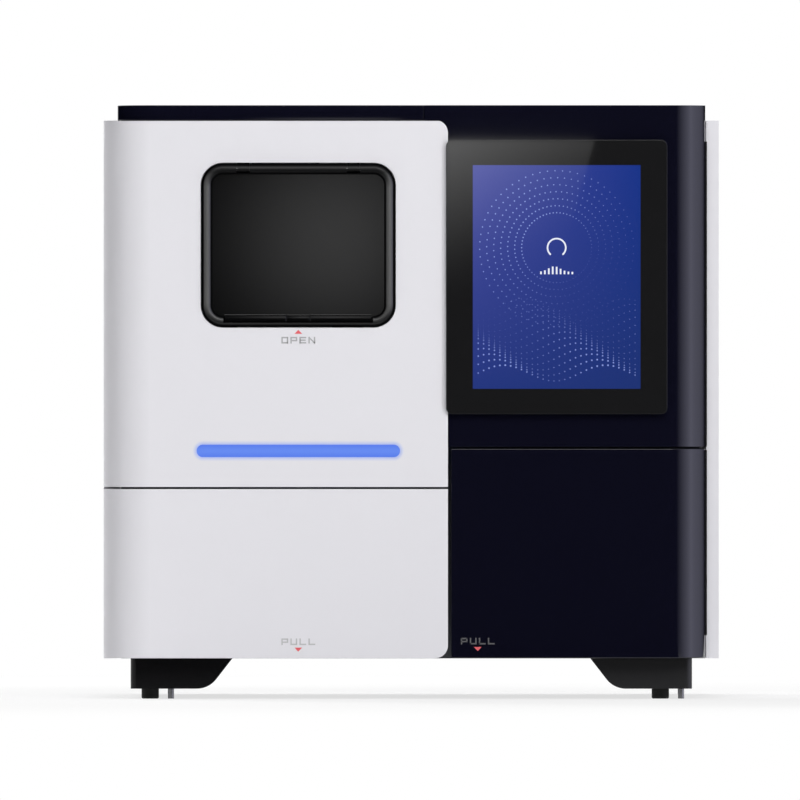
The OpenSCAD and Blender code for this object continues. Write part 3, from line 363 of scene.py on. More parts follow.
class Nodes:
    """Adds and joins the nodes of one tree."""

    def __init__(self, tree):
        self.tree = tree

    def feed(self, socket, value):
        """Gives a socket a constant, or joins it to the value of another node."""
        if isinstance(value, bpy.types.NodeSocket):
            self.tree.links.new(value, socket)
        else:
            socket.default_value = value

    def add(self, kind, inputs=None, **settings):
        node = self.tree.nodes.new(kind)
        for name, value in settings.items():
            setattr(node, name, value)
        for name, value in (inputs or {}).items():
            self.feed(node.inputs[name], value)
        return node

    def math(self, operation, *values, **settings):
        inputs = dict(enumerate(values))
        return self.add("ShaderNodeMath", inputs, operation=operation, **settings).outputs[0]

    def vector(self, operation, first, second=None):
        inputs = {0: first}
        if second is not None:
            inputs["Scale" if operation == "SCALE" else 1] = second
        outputs = self.add("ShaderNodeVectorMath", inputs, operation=operation).outputs
        return outputs["Value" if operation in ("LENGTH", "DOT_PRODUCT") else "Vector"]

    def ranged(self, value, ends, levels=(0, 1), **settings):
        """A value that goes from one level to the other between two ends."""
        inputs = {"Value": value, "From Min": ends[0], "From Max": ends[1],
                  "To Min": levels[0], "To Max": levels[1]}
        return self.add("ShaderNodeMapRange", inputs, **settings).outputs[0]

    def here(self):
        """The place on the piece."""
        return self.add("ShaderNodeTexCoord").outputs["Object"]

    def here_along(self, axes):
        """The place on the piece along each of the axes."""
        parts = self.add("ShaderNodeSeparateXYZ", {0: self.here()}).outputs
        return [parts[axis] for axis in axes]

    def done(self, surface):
        """Joins a shader to the material's output, and gives the material."""
        self.add("ShaderNodeOutputMaterial", {"Surface": surface.outputs[0]})
        return self.material


def material_nodes(name):
    material = bpy.data.materials.new(name)
    material.use_nodes = True
    material.node_tree.nodes.clear()
    nodes = Nodes(material.node_tree)
    nodes.material = material
    return nodes


def linear(red, green, blue):
    """A colour given as it shows on a screen, 0 to 255, as the renderer holds it."""
    def straight(value):
        value /= 255
        return value / 12.92 if value <= 0.04045 else ((value + 0.055) / 1.055) ** 2.4
    return straight(red), straight(green), straight(blue), 1


def shader(nodes, colour, roughness, **sockets):
    """A Principled shader with its constants on its own sockets."""
    inputs = {name.replace("_", " "): value for name, value in sockets.items()}
    inputs.update({"Base Color": colour, "Roughness": roughness})
    return nodes.add("ShaderNodeBsdfPrincipled", inputs)


def grain(nodes, surface, size, depth, stretch=(1, 1, 1), rough_span=None, detail=2):
    """Fine relief of that size and depth in millimetres, and a spread of roughness."""
    place = nodes.add("ShaderNodeMapping", {"Vector": nodes.here(), "Scale": stretch})
    noise = nodes.add("ShaderNodeTexNoise", {"Vector": place.outputs[0], "Scale": 1 / (size * mm),
                                             "Detail": detail}).outputs["Fac"]
    bump = nodes.add("ShaderNodeBump", {"Height": noise, "Strength": 1, "Distance": depth * mm})
    nodes.feed(surface.inputs["Normal"], bump.outputs[0])
    if rough_span:
        nodes.feed(surface.inputs["Roughness"], nodes.ranged(noise, (0.3, 0.7), rough_span))


def around(level, spread):
    """The two ends of a spread about a level."""
    return level - spread, level + spread


def paint(name, colour, roughness, gloss=0.5, peel=0.004, spread=0.02, painted_light=None):
    """Sprayed paint with a faint orange peel, its roughness uneven by the spread; painted_light, if
    given, adds painted light to its colour.
    """
    nodes = material_nodes(name)
    if painted_light:
        colour = painted_light(nodes, colour)
    surface = shader(nodes, colour, roughness, Specular_IOR_Level=gloss)
    grain(nodes, surface, 1.6, peel, rough_span=around(roughness, spread))
    return nodes.done(surface)


def painted_bar_glow(nodes, colour):
    """Painted light: a blue glow painted on the paint where the light bar shines on the edge of its
    opening.
    """
    centre = Vector((middle("flow_door_frame").x, 0, middle("light_bar").z))
    half, radius, reach = 95.75 * mm, 5.75 * mm, 4.5 * mm
    off = nodes.vector("ABSOLUTE", nodes.vector("SUBTRACT", nodes.here(), centre))
    off = nodes.vector("MAXIMUM", nodes.vector("SUBTRACT", off, (half - radius, 0, 0)), (0, 0, 0))
    away = nodes.vector("LENGTH", nodes.vector("MULTIPLY", off, (1, 0, 1)))
    near = nodes.ranged(away, (radius + reach, radius), interpolation_type="SMOOTHSTEP")
    return mixed(nodes, near, colour, linear(185, 197, 238))


def moulding(name, colour, roughness, gloss=0.4, texture=0.02):
    """Moulded plastic with a spark-eroded texture."""
    nodes = material_nodes(name)
    surface = shader(nodes, colour, roughness, Specular_IOR_Level=gloss)
    grain(nodes, surface, 0.5, texture, rough_span=around(roughness, 0.04), detail=3)
    return nodes.done(surface)


def bead_trim(name, colour, roughness):
    """Satin moulding of the door's bead: polished down the crest of both uprights, duller
    over the top and the bottom, and matt at its sides."""
    lo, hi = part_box("flow_door_frame")
    nodes = material_nodes(name)
    surface = shader(nodes, colour, roughness, IOR=2.0)
    grain(nodes, surface, 0.5, 0.003, detail=3)
    y, z = nodes.here_along("YZ")
    crest = nodes.ranged(y, (lo.y + 1.3 * mm, lo.y + 0.05 * mm))
    corner, bend = 22 * mm, 8 * mm
    top = nodes.ranged(z, (hi.z - corner, hi.z - bend), (1, 0.12))
    bottom = nodes.ranged(z, (lo.z + corner, lo.z + bend), (1, 0.3))
    nodes.feed(surface.inputs["Specular IOR Level"], multiplied(nodes, crest, top, bottom))
    return nodes.done(surface)


def metal(name, colour, roughness, brushed=(1, 1, 1)):
    """Metal, brushed along the axis whose stretch is smallest."""
    nodes = material_nodes(name)
    surface = shader(nodes, colour, roughness, Metallic=1.0)
    grain(nodes, surface, 0.7, 0.004, brushed, around(roughness, 0.07), detail=4)
    return nodes.done(surface)


def clear_glass(name, colour, roughness):
    nodes = material_nodes(name)
    surface = shader(nodes, colour, roughness, Transmission_Weight=1.0, IOR=1.45)
    grain(nodes, surface, 30, 0.002)
    return nodes.done(surface)


def frosted(name, colour, roughness):
    """Thin natural plastic that lets some light through."""
    nodes = material_nodes(name)
    surface = shader(nodes, colour, roughness, Transmission_Weight=0.45, IOR=1.4,
                     Subsurface_Weight=0.3, Subsurface_Radius=(4 * mm, 4 * mm, 4 * mm),
                     Subsurface_Scale=1)
    grain(nodes, surface, 1.2, 0.01)
    return nodes.done(surface)


def glowing_bar(name):
    """Blue diffuser, lit from behind and a little paler at the middle of its height."""
    nodes = material_nodes(name)
    up, = nodes.here_along("Z")
    off = nodes.math("ABSOLUTE", nodes.math("SUBTRACT", up, middle("light_bar").z))
    edge = nodes.ranged(off, (0, 6 * mm), interpolation_type="SMOOTHSTEP")
    glow = mixed(nodes, edge, linear(86, 118, 192), linear(72, 104, 188))
    return nodes.done(shader(nodes, linear(40, 70, 160), 0.45, Emission_Strength=1.0,
                             Emission_Color=glow))


def pale_light(name, colour):
    """A lit mark on the screen."""
    nodes = material_nodes(name)
    surface = shader(nodes, linear(24, 24, 25), 0.02, Emission_Strength=1.0, Emission_Color=colour)
    grain(nodes, surface, 20, 0.001)
    return nodes.done(surface)


def mixed(nodes, share, first, second):
    """A colour between two colours or colour sockets."""
    mix = nodes.add("ShaderNodeMix", {"Factor": share}, data_type="RGBA")
    for name, colour in (("A", first), ("B", second)):
        # each name stands for one socket of every kind
        nodes.feed([s for s in mix.inputs if s.name == name and s.type == "RGBA"][0], colour)
    return [s for s in mix.outputs if s.type == "RGBA"][0]


def multiplied(nodes, total, *values):
    """The product of several values."""
    for value in values:
        total = nodes.math("MULTIPLY", total, value)
    return total


def lit_screen(name):
    """Black glass with a lit picture area: a blue ground, more violet at the top left."""
    lo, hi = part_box("screen_panel")
    edge = 0.3 * mm
    nodes = material_nodes(name)
    x, z = nodes.here_along("XZ")
    across, up = nodes.ranged(x, (lo.x, hi.x)), nodes.ranged(z, (lo.z, hi.z))
    lower = mixed(nodes, across, linear(25, 47, 123), linear(16, 43, 112))
    upper = mixed(nodes, across, linear(64, 72, 156), linear(4, 44, 133))
    inside = multiplied(nodes, *(nodes.ranged(along, (start, start + step))
                                 for along, start, step in ((x, lo.x, edge), (x, hi.x, -edge),
                                                            (z, lo.z, edge), (z, hi.z, -edge))))
    glow = mixed(nodes, inside, (0, 0, 0, 1), mixed(nodes, up, lower, upper))
    return nodes.done(shader(nodes, linear(25, 25, 26), 0.015, Emission_Strength=1.0,
                             Emission_Color=glow))


def make_finishes():
    """One finish for each material slot of the record."""
    return {
        "white_paint": paint("white_paint", linear(227, 226, 231), 0.42),
        # the left cover's paint, with the light bar's blue glow painted on it
        "lit_paint": paint("lit_paint", linear(227, 226, 231), 0.42, painted_light=painted_bar_glow),
        # a shade lighter than white_paint: painted light on the side panels
        "side_paint": paint("side_paint", linear(233, 232, 237), 0.42),
        "dark_paint": paint("dark_paint", linear(13, 13, 26), 0.022, gloss=0.45, peel=0.0003,
                            spread=0.003),
        "black_plastic": moulding("black_plastic", linear(3, 3, 5), 0.22, gloss=0.22),
        # black plastic painted lighter: painted light on the right foot rail
        "rail_plastic": moulding("rail_plastic", linear(27, 27, 29), 0.3, gloss=0.3),
        "door_trim": bead_trim("door_trim", linear(12, 12, 13), 0.46),
        "smoked_pane": paint("smoked_pane", linear(8, 8, 9), 0.07, gloss=0.5, peel=0.0002,
                             spread=0.002),
        "screen_glass": lit_screen("screen_glass"),
        "display": pale_light("display", linear(132, 150, 220)),
        "display_white": pale_light("display_white", linear(236, 240, 252)),
        "light_blue": glowing_bar("light_blue"),
        "foot_rubber": moulding("foot_rubber", linear(16, 16, 16), 0.62, gloss=0.3, texture=0.04),
        "bright_steel": metal("bright_steel", (0.62, 0.62, 0.63, 1), 0.16),
        "stud_steel": metal("stud_steel", (0.2, 0.2, 0.21, 1), 0.14),
        "sheet_steel": paint("sheet_steel", linear(188, 190, 193), 0.45),
        "frame_grey": paint("frame_grey", linear(68, 70, 75), 0.5),
        "dark_moulding": moulding("dark_moulding", linear(52, 53, 56), 0.5),
        "machined_aluminium": metal("machined_aluminium", (0.66, 0.67, 0.68, 1), 0.32,
                                    brushed=(0.05, 1, 1)),
        "rail_steel": metal("rail_steel", (0.52, 0.53, 0.54, 1), 0.24, brushed=(1, 0.05, 1)),
        "natural_plastic": moulding("natural_plastic", linear(222, 223, 220), 0.4),
        "bottle_plastic": frosted("bottle_plastic", linear(232, 235, 232), 0.3),
        "cap_plastic": moulding("cap_plastic", linear(38, 78, 168), 0.35),
        "flow_cell_glass": clear_glass("flow_cell_glass", (0.82, 0.93, 0.96, 1), 0.04),
        "circuit_board": moulding("circuit_board", linear(16, 74, 44), 0.35),
        "tube_plastic": frosted("tube_plastic", linear(226, 232, 234), 0.25),
        "lettering": paint("lettering", linear(172, 172, 174), 0.5, gloss=0.2),
        "lettering_pale": paint("lettering_pale", linear(189, 189, 191), 0.5, gloss=0.2),
        "lettering_dim": paint("lettering_dim", linear(92, 92, 94), 0.5, gloss=0.2),
        "number_grey": paint("number_grey", linear(90, 92, 96), 0.5, gloss=0.2),
        "pointer_red": paint("pointer_red", linear(226, 100, 106), 0.5, gloss=0.2),
    }


def dress_frame():
    """Gives every carried-over node the finish of its slot."""
    for name, node in frame["nodes"].items():
        node.data.materials.clear()
        node.data.materials.append(finishes[slot_of(name)])
    frame["nodes"]["levelling_studs"].data.materials[0] = finishes["stud_steel"]


# ---------------------------------------------------------------- covers and feet

def make_covers():
    edge = 0.8 * mm
    gap = 0.8 * mm
    # the left cover takes the paint with the light bar's painted blue glow
    soft_copy("upper_left_cover", "left_cover_shell", edge, 3, "lit_paint",
              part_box("upper_left_cover")[1].z - gap)
    for node, name in (("drawer_front", "drawer_front_shell"),
                       ("upper_right_cover", "right_cover_shell"),
                       ("bottle_door", "bottle_door_shell"),
                       ("top_cover", "top_cover_shell")):
        soft_copy(node, name, edge, segments=3)
    # painted light: the side panels' paint is a shade lighter than the front's, for the light that
    # the covers' proud edges keep off them
    for side in ("left", "right"):
        soft_copy(side + "_side_panel", side + "_panel_shell", edge, 3, "side_paint")
    make_rails()


def make_rails():
    """Moulded foot rails, rounder down their outer corners; the right one is painted lighter, as
    painted light from the right.
    """
    rails = merged_copy("foot_rails", "foot_rail_mouldings")
    lo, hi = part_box("foot_rails")
    shape = bmesh.new()
    shape.from_mesh(rails.data)
    outer = [e for e in shape.edges
             if abs(e.verts[0].co.z - e.verts[1].co.z) > 10 * mm
             and all(min(v.co.x - lo.x, hi.x - v.co.x) < 1 * mm for v in e.verts)]
    bmesh.ops.bevel(shape, geom=outer, offset=9 * mm, segments=8, profile=0.5, affect="EDGES")
    shape.to_mesh(rails.data)
    shape.free()
    # the right rail takes the lighter plastic, painted light as if lit from the right
    dressed(rails, "black_plastic", "rail_plastic")
    for face in rails.data.polygons:
        face.material_index = int(face.center.x > 0)
    settle(bevelled(rails, 1 * mm), "case", slot_of("foot_rails"), "foot_rails")


def make_edge_shade_strips():
    """Thin black strips down the right edge of the dark covers, next to the white side: painted
    shade, dark pieces put in the shadow of the gap there.
    """
    inner, outer, front = 277.6 * mm, 279.1 * mm, -266 * mm
    for name, body, back, bottom, top in (("upper_edge_seal", "case", -239.4, 238, 526),
                                          ("door_edge_seal", "bottle_door", -258, 60, 235)):
        # painted shade: a black strip standing in the gap's shadow
        shade_strip = plain_mesh(name, *block((inner, front, bottom * mm), (outer, back * mm, top * mm)))
        dressed(shade_strip, "foot_rubber")
        settle(bevelled(shade_strip, 0.3 * mm), body, slot_of("bottle_door_liner"))


def make_door():
    """Bead, pane and grip of the flow cell door, and the hinge knuckles in the bead's line."""
    soft_copy("flow_door_frame", "door_bead", 0.3 * mm)
    soft_copy("flow_door_window", "door_pane", 0.4 * mm)
    soft_copy("flow_door_grip", "door_grip", 0.6 * mm, finish="smoked_pane")
    soft_copy("flow_door_button", "door_release", 0.6 * mm, finish="smoked_pane")
    hinges = dressed(merged_copy("hinge_brackets", "hinge_knuckles"), "foot_rubber", "door_trim")
    bead_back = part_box("upper_left_cover")[0].y
    centre, offset = middle("flow_door_frame").x, 52 * mm
    knuckle_half, hairline_half = 5.5 * mm, 5.9 * mm
    for vertex in hinges.data.vertices:
        for x in (centre - offset, centre + offset):
            side = vertex.co.x - x
            if abs(abs(side) - knuckle_half) < 0.01 * mm and vertex.co.y < bead_back:
                vertex.co.x = x + math.copysign(hairline_half, side)
    for face in hinges.data.polygons:
        face.material_index = int(face.center.y < bead_back + 3 * mm)
    settle(bevelled(hinges, 0.1 * mm), "case", "frame_grey", "hinge_brackets")


# ---------------------------------------------------------------- what repeats

class Repeat(Nodes):
    """A Geometry Nodes tree that repeats a piece's own mesh over rows of so many."""

    KINDS = {int: "NodeSocketInt", float: "NodeSocketFloat", tuple: "NodeSocketVector"}

    def __init__(self, name, count, rows=1, **inputs):
        super().__init__(bpy.data.node_groups.new(name, "GeometryNodeTree"))
        face = self.tree.interface
        for way in ("INPUT", "OUTPUT"):
            face.new_socket(name="Geometry", in_out=way, socket_type="NodeSocketGeometry")
        self.values = {}
        for label, value in {"count": count, "rows": rows, **inputs}.items():
            if isinstance(value, Vector):
                value = tuple(value)
            socket = face.new_socket(name=label, in_out="INPUT",
                                     socket_type=self.KINDS[type(value)])
            self.values[socket.identifier] = value
        self.given = self.add("NodeGroupInput").outputs
        index = self.add("GeometryNodeInputIndex").outputs[0]
        self.column = self.math("MODULO", index, self.given["count"])
        self.row = self.math("FLOOR", self.math("DIVIDE", index, self.given["count"]))

    def random(self, kind, low, high, salt):
        """A seeded random value for each point."""
        node = self.add("FunctionNodeRandomValue", data_type=kind)
        wanted = {"FLOAT": "VALUE", "FLOAT_VECTOR": "VECTOR"}[kind]
        for label, value in (("Min", low), ("Max", high)):
            self.feed([s for s in node.inputs if s.name == label and s.type == wanted][0], value)
        self.feed(node.inputs["Seed"], self.math("ADD", self.given["seed"], salt))
        return [s for s in node.outputs if s.type == wanted][0]

    def on_grid(self, column, row):
        """A place so many steps and rows from the origin."""
        along = self.vector("SCALE", self.given["step"], column)
        across = self.vector("SCALE", self.given["row_step"], row)
        return self.vector("ADD", self.vector("ADD", self.given["origin"], along), across)

    def on_face(self, origin, across, up):
        """A place on an upright face, across and up from the origin."""
        off = self.add("ShaderNodeCombineXYZ", {"X": across, "Z": up})
        return self.vector("ADD", origin, off.outputs[0])

    def run(self, piece, at, material, **turn_and_size):
        """Puts the shape at those places, and keeps the real faces as the piece's mesh."""
        total = self.math("MULTIPLY", self.given["count"], self.given["rows"])
        points = self.add("GeometryNodePoints", {"Count": total, "Position": at})
        set_out = self.add("GeometryNodeInstanceOnPoints", {
            "Points": points.outputs[0], "Instance": self.given["Geometry"], **turn_and_size})
        real = self.add("GeometryNodeRealizeInstances", {0: set_out.outputs[0]})
        clad = self.add("GeometryNodeSetMaterial", {"Geometry": real.outputs[0],
                                                    "Material": material})
        self.add("NodeGroupOutput", {0: clad.outputs[0]})
        modifier = piece.modifiers.new(self.tree.name, "NODES")
        modifier.node_group = self.tree
        for identifier, value in self.values.items():
            modifier[identifier] = value
        baked(piece)


def in_rows(piece, material, count, origin, step, rows=1, row_step=(0.0, 0.0, 0.0)):
    """Repeats a piece's shape along a line, or over rows of such lines."""
    tree = Repeat("rows_of_" + piece.name, count, rows, origin=origin, step=step,
                  row_step=row_step)
    tree.run(piece, tree.on_grid(tree.column, tree.row), material)


def in_ring(piece, material, count, centre, axis):
    """Repeats a piece's shape, drawn about the origin, round an axis."""
    tree = Repeat("ring_of_" + piece.name, count, centre=centre, axis=axis)
    share = tree.math("DIVIDE", tree.column, tree.given["count"])
    turn = tree.vector("SCALE", tree.given["axis"], tree.math("MULTIPLY", share, 2 * math.pi))
    tree.run(piece, tree.given["centre"], material, Rotation=turn)


def in_waves(piece, material, count, rows, origin, step, rise, swell, length):
    """Rows of marks that rise and fall like water, smaller towards the last row."""
    tree = Repeat("waves_of_" + piece.name, count, rows, origin=origin, step=step, rise=rise,
                  swell=swell, length=length)
    row_lag = 0.42
    given = tree.given
    across = tree.math("MULTIPLY", tree.column, given["step"])
    phase = tree.math("MULTIPLY", tree.math("DIVIDE", across, given["length"]), 2 * math.pi)
    phase = tree.math("ADD", phase, tree.math("MULTIPLY", tree.row, row_lag))
    wave = tree.math("SINE", phase)
    up = tree.math("ADD", tree.math("MULTIPLY", tree.row, given["rise"]),
                   tree.math("MULTIPLY", wave, given["swell"]))
    fall = tree.math("SUBTRACT", 1.25, tree.math("DIVIDE", tree.row, given["rows"]))
    crest = tree.math("ADD", 0.85, tree.math("MULTIPLY", wave, 0.3))
    tree.run(piece, tree.on_face(given["origin"], across, up), material,
             Scale=tree.math("MULTIPLY", fall, crest))


def in_ripples(piece, material, count, rows, centre, first, step):
    """Rings of marks round a point of an upright face, larger towards the upper left."""
    tree = Repeat("ripples_of_" + piece.name, count, rows, centre=centre, first=first, step=step)
    row_twist, upper_left = 0.37, math.radians(140)
    given = tree.given
    turn = tree.math("ADD", tree.column, tree.math("MULTIPLY", tree.row, row_twist))
    angle = tree.math("MULTIPLY", tree.math("DIVIDE", turn, given["count"]), 2 * math.pi)
    radius = tree.math("ADD", given["first"], tree.math("MULTIPLY", tree.row, given["step"]))
    across, up = (tree.math("MULTIPLY", tree.math(kind, angle), radius)
                  for kind in ("COSINE", "SINE"))
    side = tree.math("COSINE", tree.math("SUBTRACT", angle, upper_left))
    tree.run(piece, tree.on_face(given["centre"], across, up), material,
             Scale=tree.math("ADD", 0.72, tree.math("MULTIPLY", side, 0.46)))


def scattered(piece, material, seed, count, rows, origin, step, row_step, low, high):
    """Rows of a shape, each nudged and scaled at random between two scales."""
    tree = Repeat("scatter_of_" + piece.name, count, rows, seed=seed, origin=origin, step=step,
                  row_step=row_step, low=low, high=high)
    nudge = 0.18
    column = tree.math("ADD", tree.column, tree.random("FLOAT", -nudge, nudge, 1))
    row = tree.math("ADD", tree.row, tree.random("FLOAT", -nudge, nudge, 2))
    size = tree.random("FLOAT_VECTOR", tree.given["low"], tree.given["high"], 3)
    tree.run(piece, tree.on_grid(column, row), material, Scale=size)


# ---------------------------------------------------------------- screen

def make_screen():
    """The glass with its lit picture: dots like a swell and like ripples round a ring, and a
    small chart."""
    lo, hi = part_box("screen_panel")
    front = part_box("screen_glass")[0].y
    proud = 0.2 * mm
    mark = proud * 0.6
    middle_x, ring_z, chart_z = (lo.x + hi.x) / 2, hi.z - 78 * mm, hi.z - 103 * mm
    # the glass stands back by the thickness of the lit marks
    glass = merged_copy("screen_glass", "screen_front")
    for vertex in glass.data.vertices:
        vertex.co.y = max(vertex.co.y, front + proud)
    dressed(glass, "screen_glass")
    settle(bevelled(glass, 0.35 * mm, 3), "case", slot_of("screen_glass"), "screen_glass")
    dots = plain_mesh("screen_dots", *disc(0.62 * mm, mark, 8))
    step, count = 5.1 * mm, 30
    start = Vector((middle_x - step * (count - 1) / 2, front + proud * 0.4, lo.z + 15 * mm))
    in_waves(dots, finishes["display"], count, 13, start, step, 5.2 * mm, 7.5 * mm, 96 * mm)
    ripples = plain_mesh("screen_ripples", *disc(0.6 * mm, mark, 8))
    in_ripples(ripples, finishes["display"], 64, 7, Vector((middle_x, front + proud * 0.4, ring_z)),
               33 * mm, 6.6 * mm)
    ring = plain_mesh("screen_ring", *arc_band(8.6 * mm, 1.5 * mm, mark, -50, 230, 40))
    for vertex in ring.data.vertices:
        vertex.co += Vector((middle_x, front + proud * 0.3, ring_z))
    bars = []
    for number in range(9):
        height = (2.2 + 5.2 * math.exp(-((number - 3.4) / 2.1) ** 2)) * mm
        x = middle_x + (number - 4) * 3.7 * mm
        bars.append(block((x - 0.8 * mm, front + proud * 0.3, chart_z),
                          (x + 0.8 * mm, front + proud * 0.9, chart_z + height)))
    chart = joined("screen_chart", bars)
    for piece in (ring, chart):
        dressed(piece, "display_white")
    for piece in (dots, ripples, ring, chart):
        settle(piece, "case", slot_of("screen_panel"))


# ---------------------------------------------------------------- inside and behind

# how far the edges of each piece are rounded, in millimetres
SOFT_PARTS = {
    "base_plate": 0.4, "front_frame": 0.4, "rear_panel": 0.3, "rear_spacers": 0.8,
    "drawer_tray": 0.8, "reagent_cartridge": 0.8, "waste_bottle": 1.4, "buffer_bottle": 1.0,
    "bottle_caps": 0.5, "bottle_tray": 0.6, "bottle_door_liner": 0.7, "chiller": 0.3,
    "optics_deck": 0.8, "optics_bridge": 0.8, "camera": 0.8, "stage_rails": 0.5,
    "stage_y_carriage": 0.7, "stage_x_carriage": 0.6, "flow_cell": 0.3, "flow_cell_clamp": 0.5,
    "objective": 0.6, "syringe_pump": 0.8, "syringe_plunger": 0.3, "power_supply": 0.5,
    "main_board": 0.2, "fan_housings": 0.6, "fan_rotor_left": 0.3, "fan_rotor_right": 0.3,
    "power_inlet": 0.4, "power_switch": 0.4, "data_ports": 0.3, "slide_rails_inner": 0.3,
    "slide_rails_middle": 0.3, "slide_rails_fixed": 0.3,
}


def row_of(name, shape, node, finish, count, origin, step, rows=1, row_step=(0.0, 0.0, 0.0)):
    """Rows of a small shape in millimetres, settled with a frame node's body."""
    piece = plain_mesh(name, *shape)
    in_rows(piece, finishes[finish], count, Vector(origin) * mm, Vector(step) * mm, rows,
            Vector(row_step) * mm)
    settle(piece, body_of(node), slot_of(node))


def ring_of(name, shape, node, finish, count, centre, axis):
    """A ring of a small shape in millimetres round an axis, settled like a row."""
    piece = plain_mesh(name, *shape)
    in_ring(piece, finishes[finish], count, Vector(centre) * mm, axis)
    settle(piece, body_of(node), slot_of(node))


def small_block(width, depth, height):
    """A block of that many millimetres about the origin."""
    half = Vector((width, depth, height)) * mm / 2
    return block(-half, half)


def woven(name, lo, hi):
    """A wire screen that fills a flat box: strands one way, then the other."""
    pitch, wire = 2.4 * mm, 0.7 * mm
    lo, hi = Vector(lo) * mm, Vector(hi) * mm
    span, centre = hi - lo, (lo + hi) / 2
    thin = min(range(3), key=lambda axis: span[axis])
    thickness = span[thin]
    for along in (axis for axis in range(3) if axis != thin):
        half = span / 2
        half[along] = wire / 2
        half[thin] = thickness / 2
        step, origin = Vector(), centre.copy()
        step[along] = pitch
        origin[along] = lo[along]
        strand = plain_mesh(name + "_" + "xyz"[along], *block(-half, half))
        in_rows(strand, finishes["bright_steel"], round(span[along] / pitch) + 1, origin, step)
        settle(strand, "case", slot_of("fan_guards"))
        # the second strands are thinner, so that their faces don't lie in the first ones'
        thickness *= 0.7


def make_inside():
    for node, radius in SOFT_PARTS.items():
        soft_copy(node, node + "_soft", radius * mm)
    for side, x in (("left", -287), ("right", 286)):
        woven(side + "_dust_screen", (x, 89, 99), (x + 1, 253, 289))
    woven("rear_dust_screen", (-228, 296.4, 91), (-52, 297.4, 216))
    make_slide_parts()
    make_stage_parts()
    make_bottle_parts()
    make_board_parts()


def make_slide_parts():
    """Balls along the top of the drawer's slides."""
    ball = turned([(0.4, -1.0), (1.0, -0.4), (1.0, 0.4), (0.4, 1.0)], 8)
    row_of("slide_balls", ball, "slide_rails_middle", "bright_steel", 39, (-253.9, -248, 91.2),
           (0, 9.2, 0), 2, (269.8, 0, 0))


def make_stage_parts():
    """Holes of the optics deck, plugs of the rail bolts, lanes, grips and barbs."""
    deck_top, rail_top = 334, 346
    hole = turned([(3.4, 0), (3.2, 0.12), (2.3, 0.12), (2.2, 0.04)], 12)
    row_of("deck_holes", hole, "optics_deck", "dark_moulding", 12, (-255, -229, deck_top),
           (24.5, 0, 0), 18, (0, 26, 0))
    plug = turned([(3.6, 0), (3.4, 0.2), (1.0, 0.2), (0.9, 0.05)], 12)
    row_of("rail_plugs", plug, "stage_rails", "black_plastic", 9, (-180, -205, rail_top),
           (0, 38, 0), 2, (120, 0, 0))
    row_of("flow_lanes", small_block(5.6, 42, 0.5), "flow_cell", "smoked_pane", 8,
           (-148, -155, 382), (8, 0, 0))
    grip = block((16.8 * mm, -0.5 * mm, -7 * mm), (17.4 * mm, 0.5 * mm, 7 * mm))
    ring_of("objective_grip", grip, "objective", "machined_aluminium", 48, (-120, 20, 446),
            (0.0, 0.0, 1.0))
    grip = block((19.8 * mm, -9 * mm, -0.6 * mm), (20.5 * mm, 9 * mm, 0.6 * mm))
    ring_of("camera_grip", grip, "camera", "black_plastic", 48, (-120, 66, 514), (0.0, 1.0, 0.0))
    barb = turned([(1.8, 0), (1.2, 2.6), (1.9, 2.6), (1.1, 5.4), (0.6, 5.4), (0.6, 3)], 12)
    row_of("needle_barbs", barb, "sipper_head", "cap_plastic", 6, (-194, -76, 280), (30, 0, 0), 2,
           (0, 102, 0))
    fin = small_block(44, 1.2, 18)
    row_of("motor_fins", fin, "sipper_tower", "dark_moulding", 11, (-119, -43.5, 301), (0, 3.7, 0))


def make_bottle_parts():
    """Knurls of both caps, level marks and the tubes to the shelf above."""
    knurl = block((19.7 * mm, -0.6 * mm, 0), (20.6 * mm, 0.6 * mm, 13 * mm))
    for name, centre in (("waste", (104, -187, 180)), ("buffer", (205, -160, 178))):
        ring_of(name + "_cap_knurls", knurl, "bottle_caps", "cap_plastic", 40, centre,
                (0.0, 0.0, 1.0))
    row_of("level_marks", small_block(9, 0.3, 0.9), "waste_bottle", "number_grey", 11,
           (134, -232.1, 62), (0, 0, 10))
    row_of("level_marks_long", small_block(15, 0.3, 1.1), "waste_bottle", "number_grey", 3,
           (131, -232.1, 57), (0, 0, 50))
    tubes = [[(x, -187, 198), (x, -187, 218), (x, -172, 224), (x, -90, 224), (x, -74, 226),
              (x, -70, 231)] for x in (97, 111)]
    tubes += [[(x, -160, 196), (x, -160, 217), (x, -146, 224), (x, -80, 224), (x, -64, 226),
               (x, -60, 231)] for x in (198, 212)]
    make_tubes("bottle_tubes", tubes, 1.9, "bottle_caps", "tube_plastic")


def make_tubes(name, paths, radius, node, finish):
    """Soft tubes along smooth paths in millimetres, turned into one mesh."""
    curve = bpy.data.curves.new(name, "CURVE")
    curve.dimensions = "3D"
    curve.bevel_depth = radius * mm
    curve.bevel_resolution = 3
    curve.use_fill_caps = True
    for path in paths:
        spline = curve.splines.new("NURBS")
        spline.points.add(len(path) - 1)
        for point, place in zip(spline.points, path):
            point.co = (*(Vector(place) * mm), 1)
        spline.use_endpoint_u = True
        spline.order_u = 3
        spline.resolution_u = 6
    drawn = placed(name, curve)
    graph = bpy.context.evaluated_depsgraph_get()
    mesh = bpy.data.meshes.new_from_object(drawn.evaluated_get(graph))
    bpy.data.objects.remove(drawn)
    for polygon in mesh.polygons:
        polygon.use_smooth = True
    settle(dressed(placed(name, mesh), finish), body_of(node), slot_of(node))


